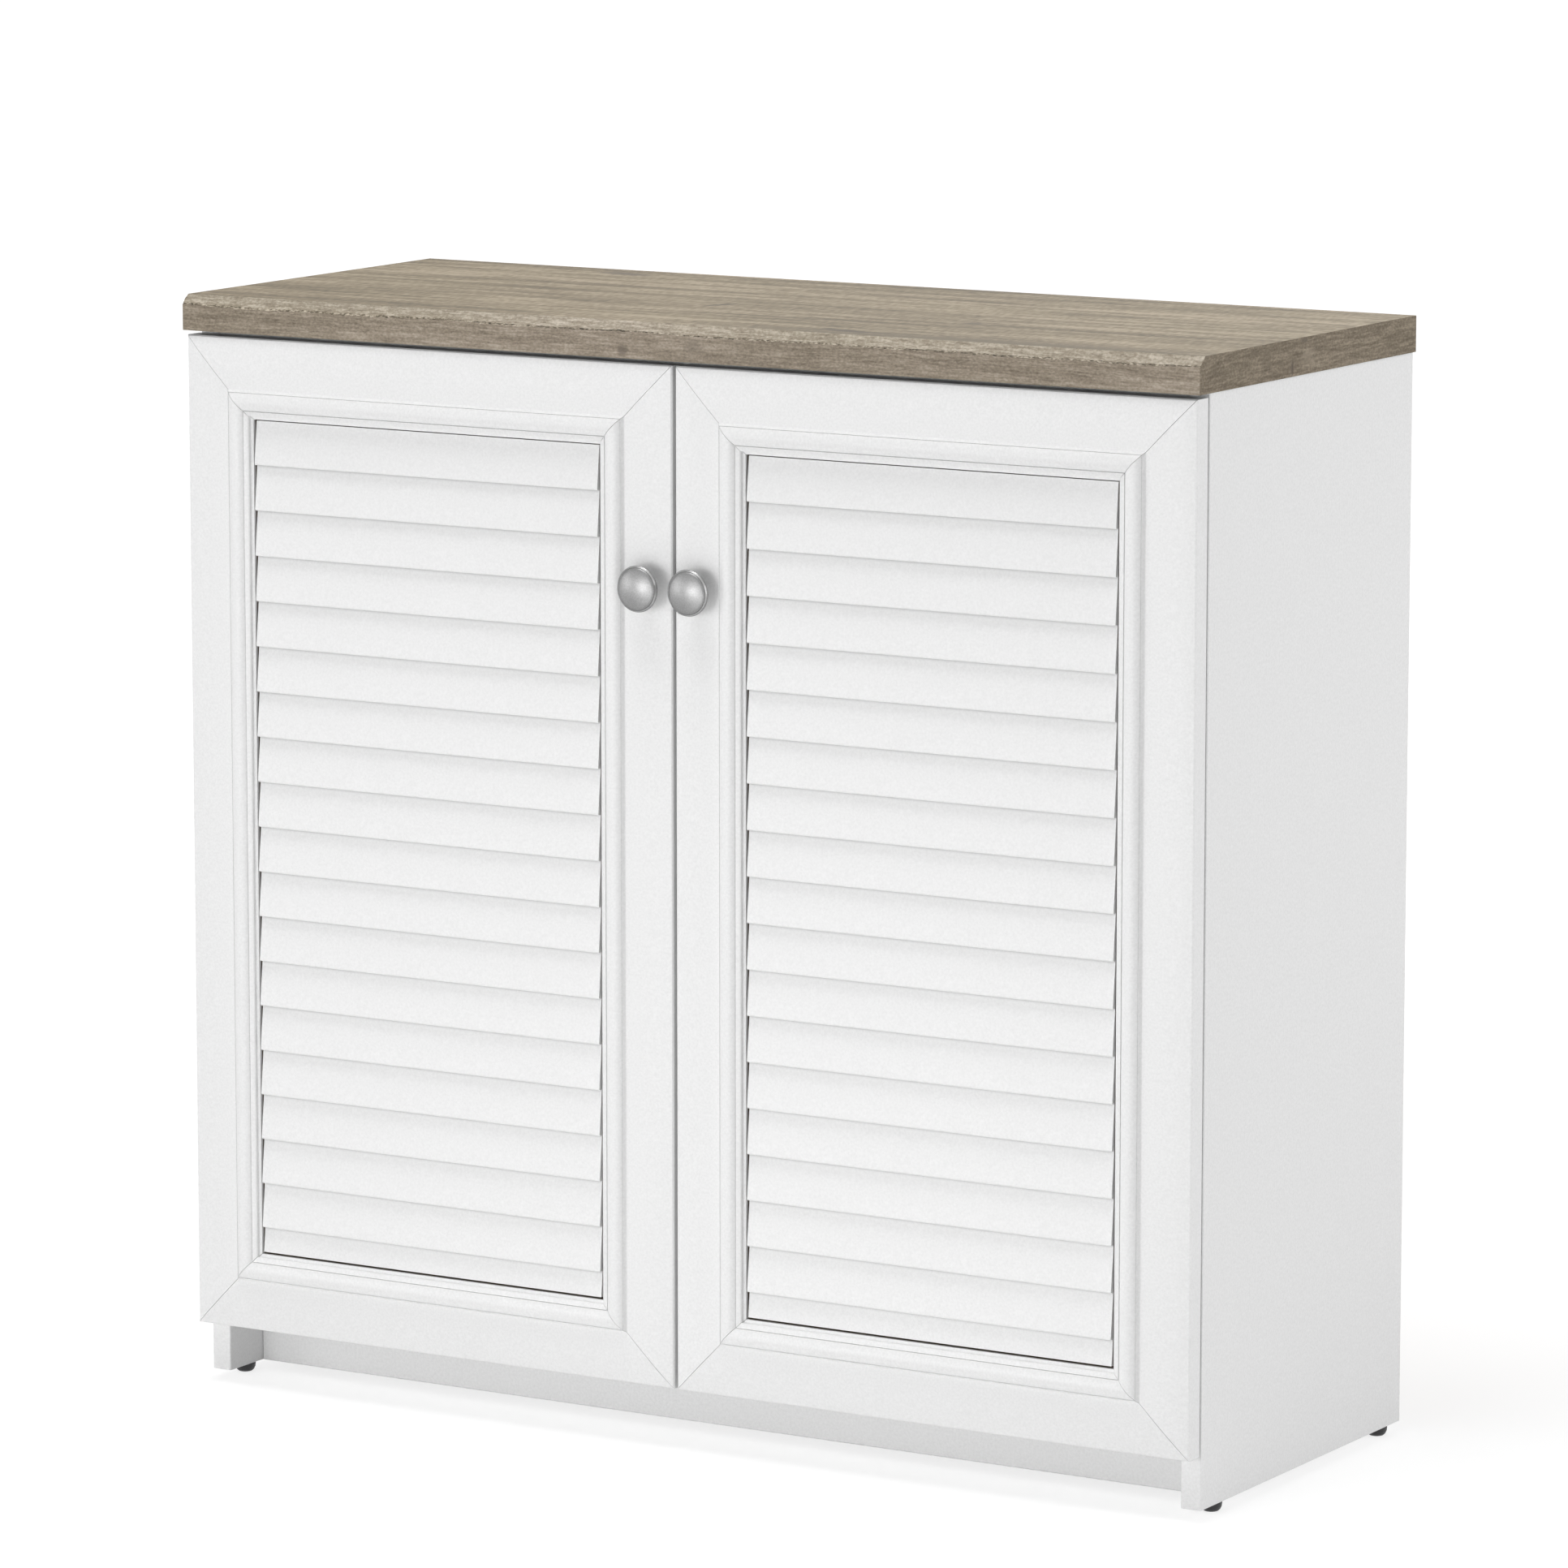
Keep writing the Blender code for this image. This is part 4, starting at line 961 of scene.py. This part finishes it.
def add_hinge_screws(material):
    """Two screws in each hinge cup and mounting plate, and two on each hinge arm."""
    for side_name, side in (("left", -1), ("right", 1)):
        cups, plates = bmesh.new(), bmesh.new()
        for level in ("lower", "upper"):
            prefix = side_name + "_" + level + "_hinge_"
            low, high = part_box(prefix + "cup")
            middle = (low + high) / 2
            for height in (low.z + EAR_INSET, high.z - EAR_INSET):
                seat = Vector((middle.x, high.y, height))
                add_head(cups, seat, (0, 1, 0), SCREW_RADIUS, SCREW_HEIGHT, True)
            inward = (-side, 0, 0)
            low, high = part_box(prefix + "plate")
            middle = (low + high) / 2
            wall = high.x if side > 0 else low.x
            for height in (low.z + WING_INSET, high.z - WING_INSET):
                seat = Vector((wall - side * WING_THICKNESS, middle.y, height))
                add_head(plates, seat, inward, SCREW_RADIUS, SCREW_HEIGHT, True)
            low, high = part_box(prefix + "arm")
            face = low.x if side > 0 else high.x
            for setback in ARM_SCREW_SETBACKS:
                seat = Vector((face, high.y - setback, (low.z + high.z) / 2))
                add_head(plates, seat, inward, SCREW_RADIUS, SCREW_HEIGHT, True)
        for kind, heads, body in (
            ("_cup_screws", cups, side_name + "_door"),
            ("_plate_screws", plates, "carcass"),
        ):
            new_piece(side_name + kind, heads, [material], body)


def add_nails(material):
    """Nails round the edge of the back board, driven into the boards that carry it."""
    low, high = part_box("back_panel")
    left, right = low.x + NAIL_EDGE, high.x - NAIL_EDGE
    bottom, top = low.z + NAIL_END, high.z - NAIL_END
    places = []
    for index in range(NAILS_ACROSS):
        x = left + (right - left) * index / (NAILS_ACROSS - 1)
        places += [(x, bottom), (x, top)]
    for index in range(1, NAILS_UP - 1):
        z = bottom + (top - bottom) * index / (NAILS_UP - 1)
        places += [(left, z), (right, z)]
    bm = bmesh.new()
    for x, z in places:
        add_head(bm, Vector((x, high.y, z)), (0, 1, 0), NAIL_RADIUS, NAIL_HEIGHT, False)
    new_piece("back_board_nails", bm, [material], "carcass")


def dress_nodes(finishes, louvre_foil):
    """Gives each piece of the frame the finish of its material slot, and the louvres their own.

    The worktop's slot has no finish here, because the worktop is drawn anew.
    """
    slots = {part["node"]: part["material_slot"] for part in frame["record"]["subparts"]}
    for name, piece in frame["nodes"].items():
        material = louvre_foil if name.endswith("louvre_panel") else finishes.get(slots[name])
        if material:
            for slot in piece.material_slots:
                slot.material = material


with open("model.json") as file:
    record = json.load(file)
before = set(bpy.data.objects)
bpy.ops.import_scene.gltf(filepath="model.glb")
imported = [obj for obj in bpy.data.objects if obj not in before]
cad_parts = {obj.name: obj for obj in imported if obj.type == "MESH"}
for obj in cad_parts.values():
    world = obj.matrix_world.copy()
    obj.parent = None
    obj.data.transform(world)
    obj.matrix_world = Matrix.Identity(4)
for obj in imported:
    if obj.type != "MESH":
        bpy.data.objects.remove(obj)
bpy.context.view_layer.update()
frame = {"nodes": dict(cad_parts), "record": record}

bpy.context.scene.view_settings.view_transform = "Standard"
add_world()
add_floor()
add_camera()
for lamp_name, lamp_facts in LAMPS.items():
    add_lamp(lamp_name, *lamp_facts)

knob_metal = satin_nickel("satin_nickel_on_zinc", ("808080", "949494"), 0.36)
# A lighter copy of the knob metal for the chamfer: its lighter tone is a painted highlight
chamfer_highlight_metal = satin_nickel("nickel_on_zinc_painted_highlight", ("A9A9A9", "BEBEBE"), 0.3)
dress_nodes(
    {
        "white_laminate": white_melamine(),
        "white_foil": foil_wrapped_fibreboard("white_foil_on_mouldings", MOULDING_CORNER_SHADE),
        "white_hardboard": hardboard(),
        "satin_nickel": knob_metal,
        "nickel_plated_steel": bright_nickel(),
        "black_plastic": black_polythene(),
        "clear_rubber": clear_polyurethane(),
    },
    foil_wrapped_fibreboard("white_foil_on_louvres", LOUVRE_CORNER_SHADE),
)

hewn_worktop(worktop_materials())
for knob_side in ("left", "right"):
    turned_knob(knob_side, knob_metal, chamfer_highlight_metal)
screws = zinc_plating()
add_hinge_screws(screws)
add_nails(screws)
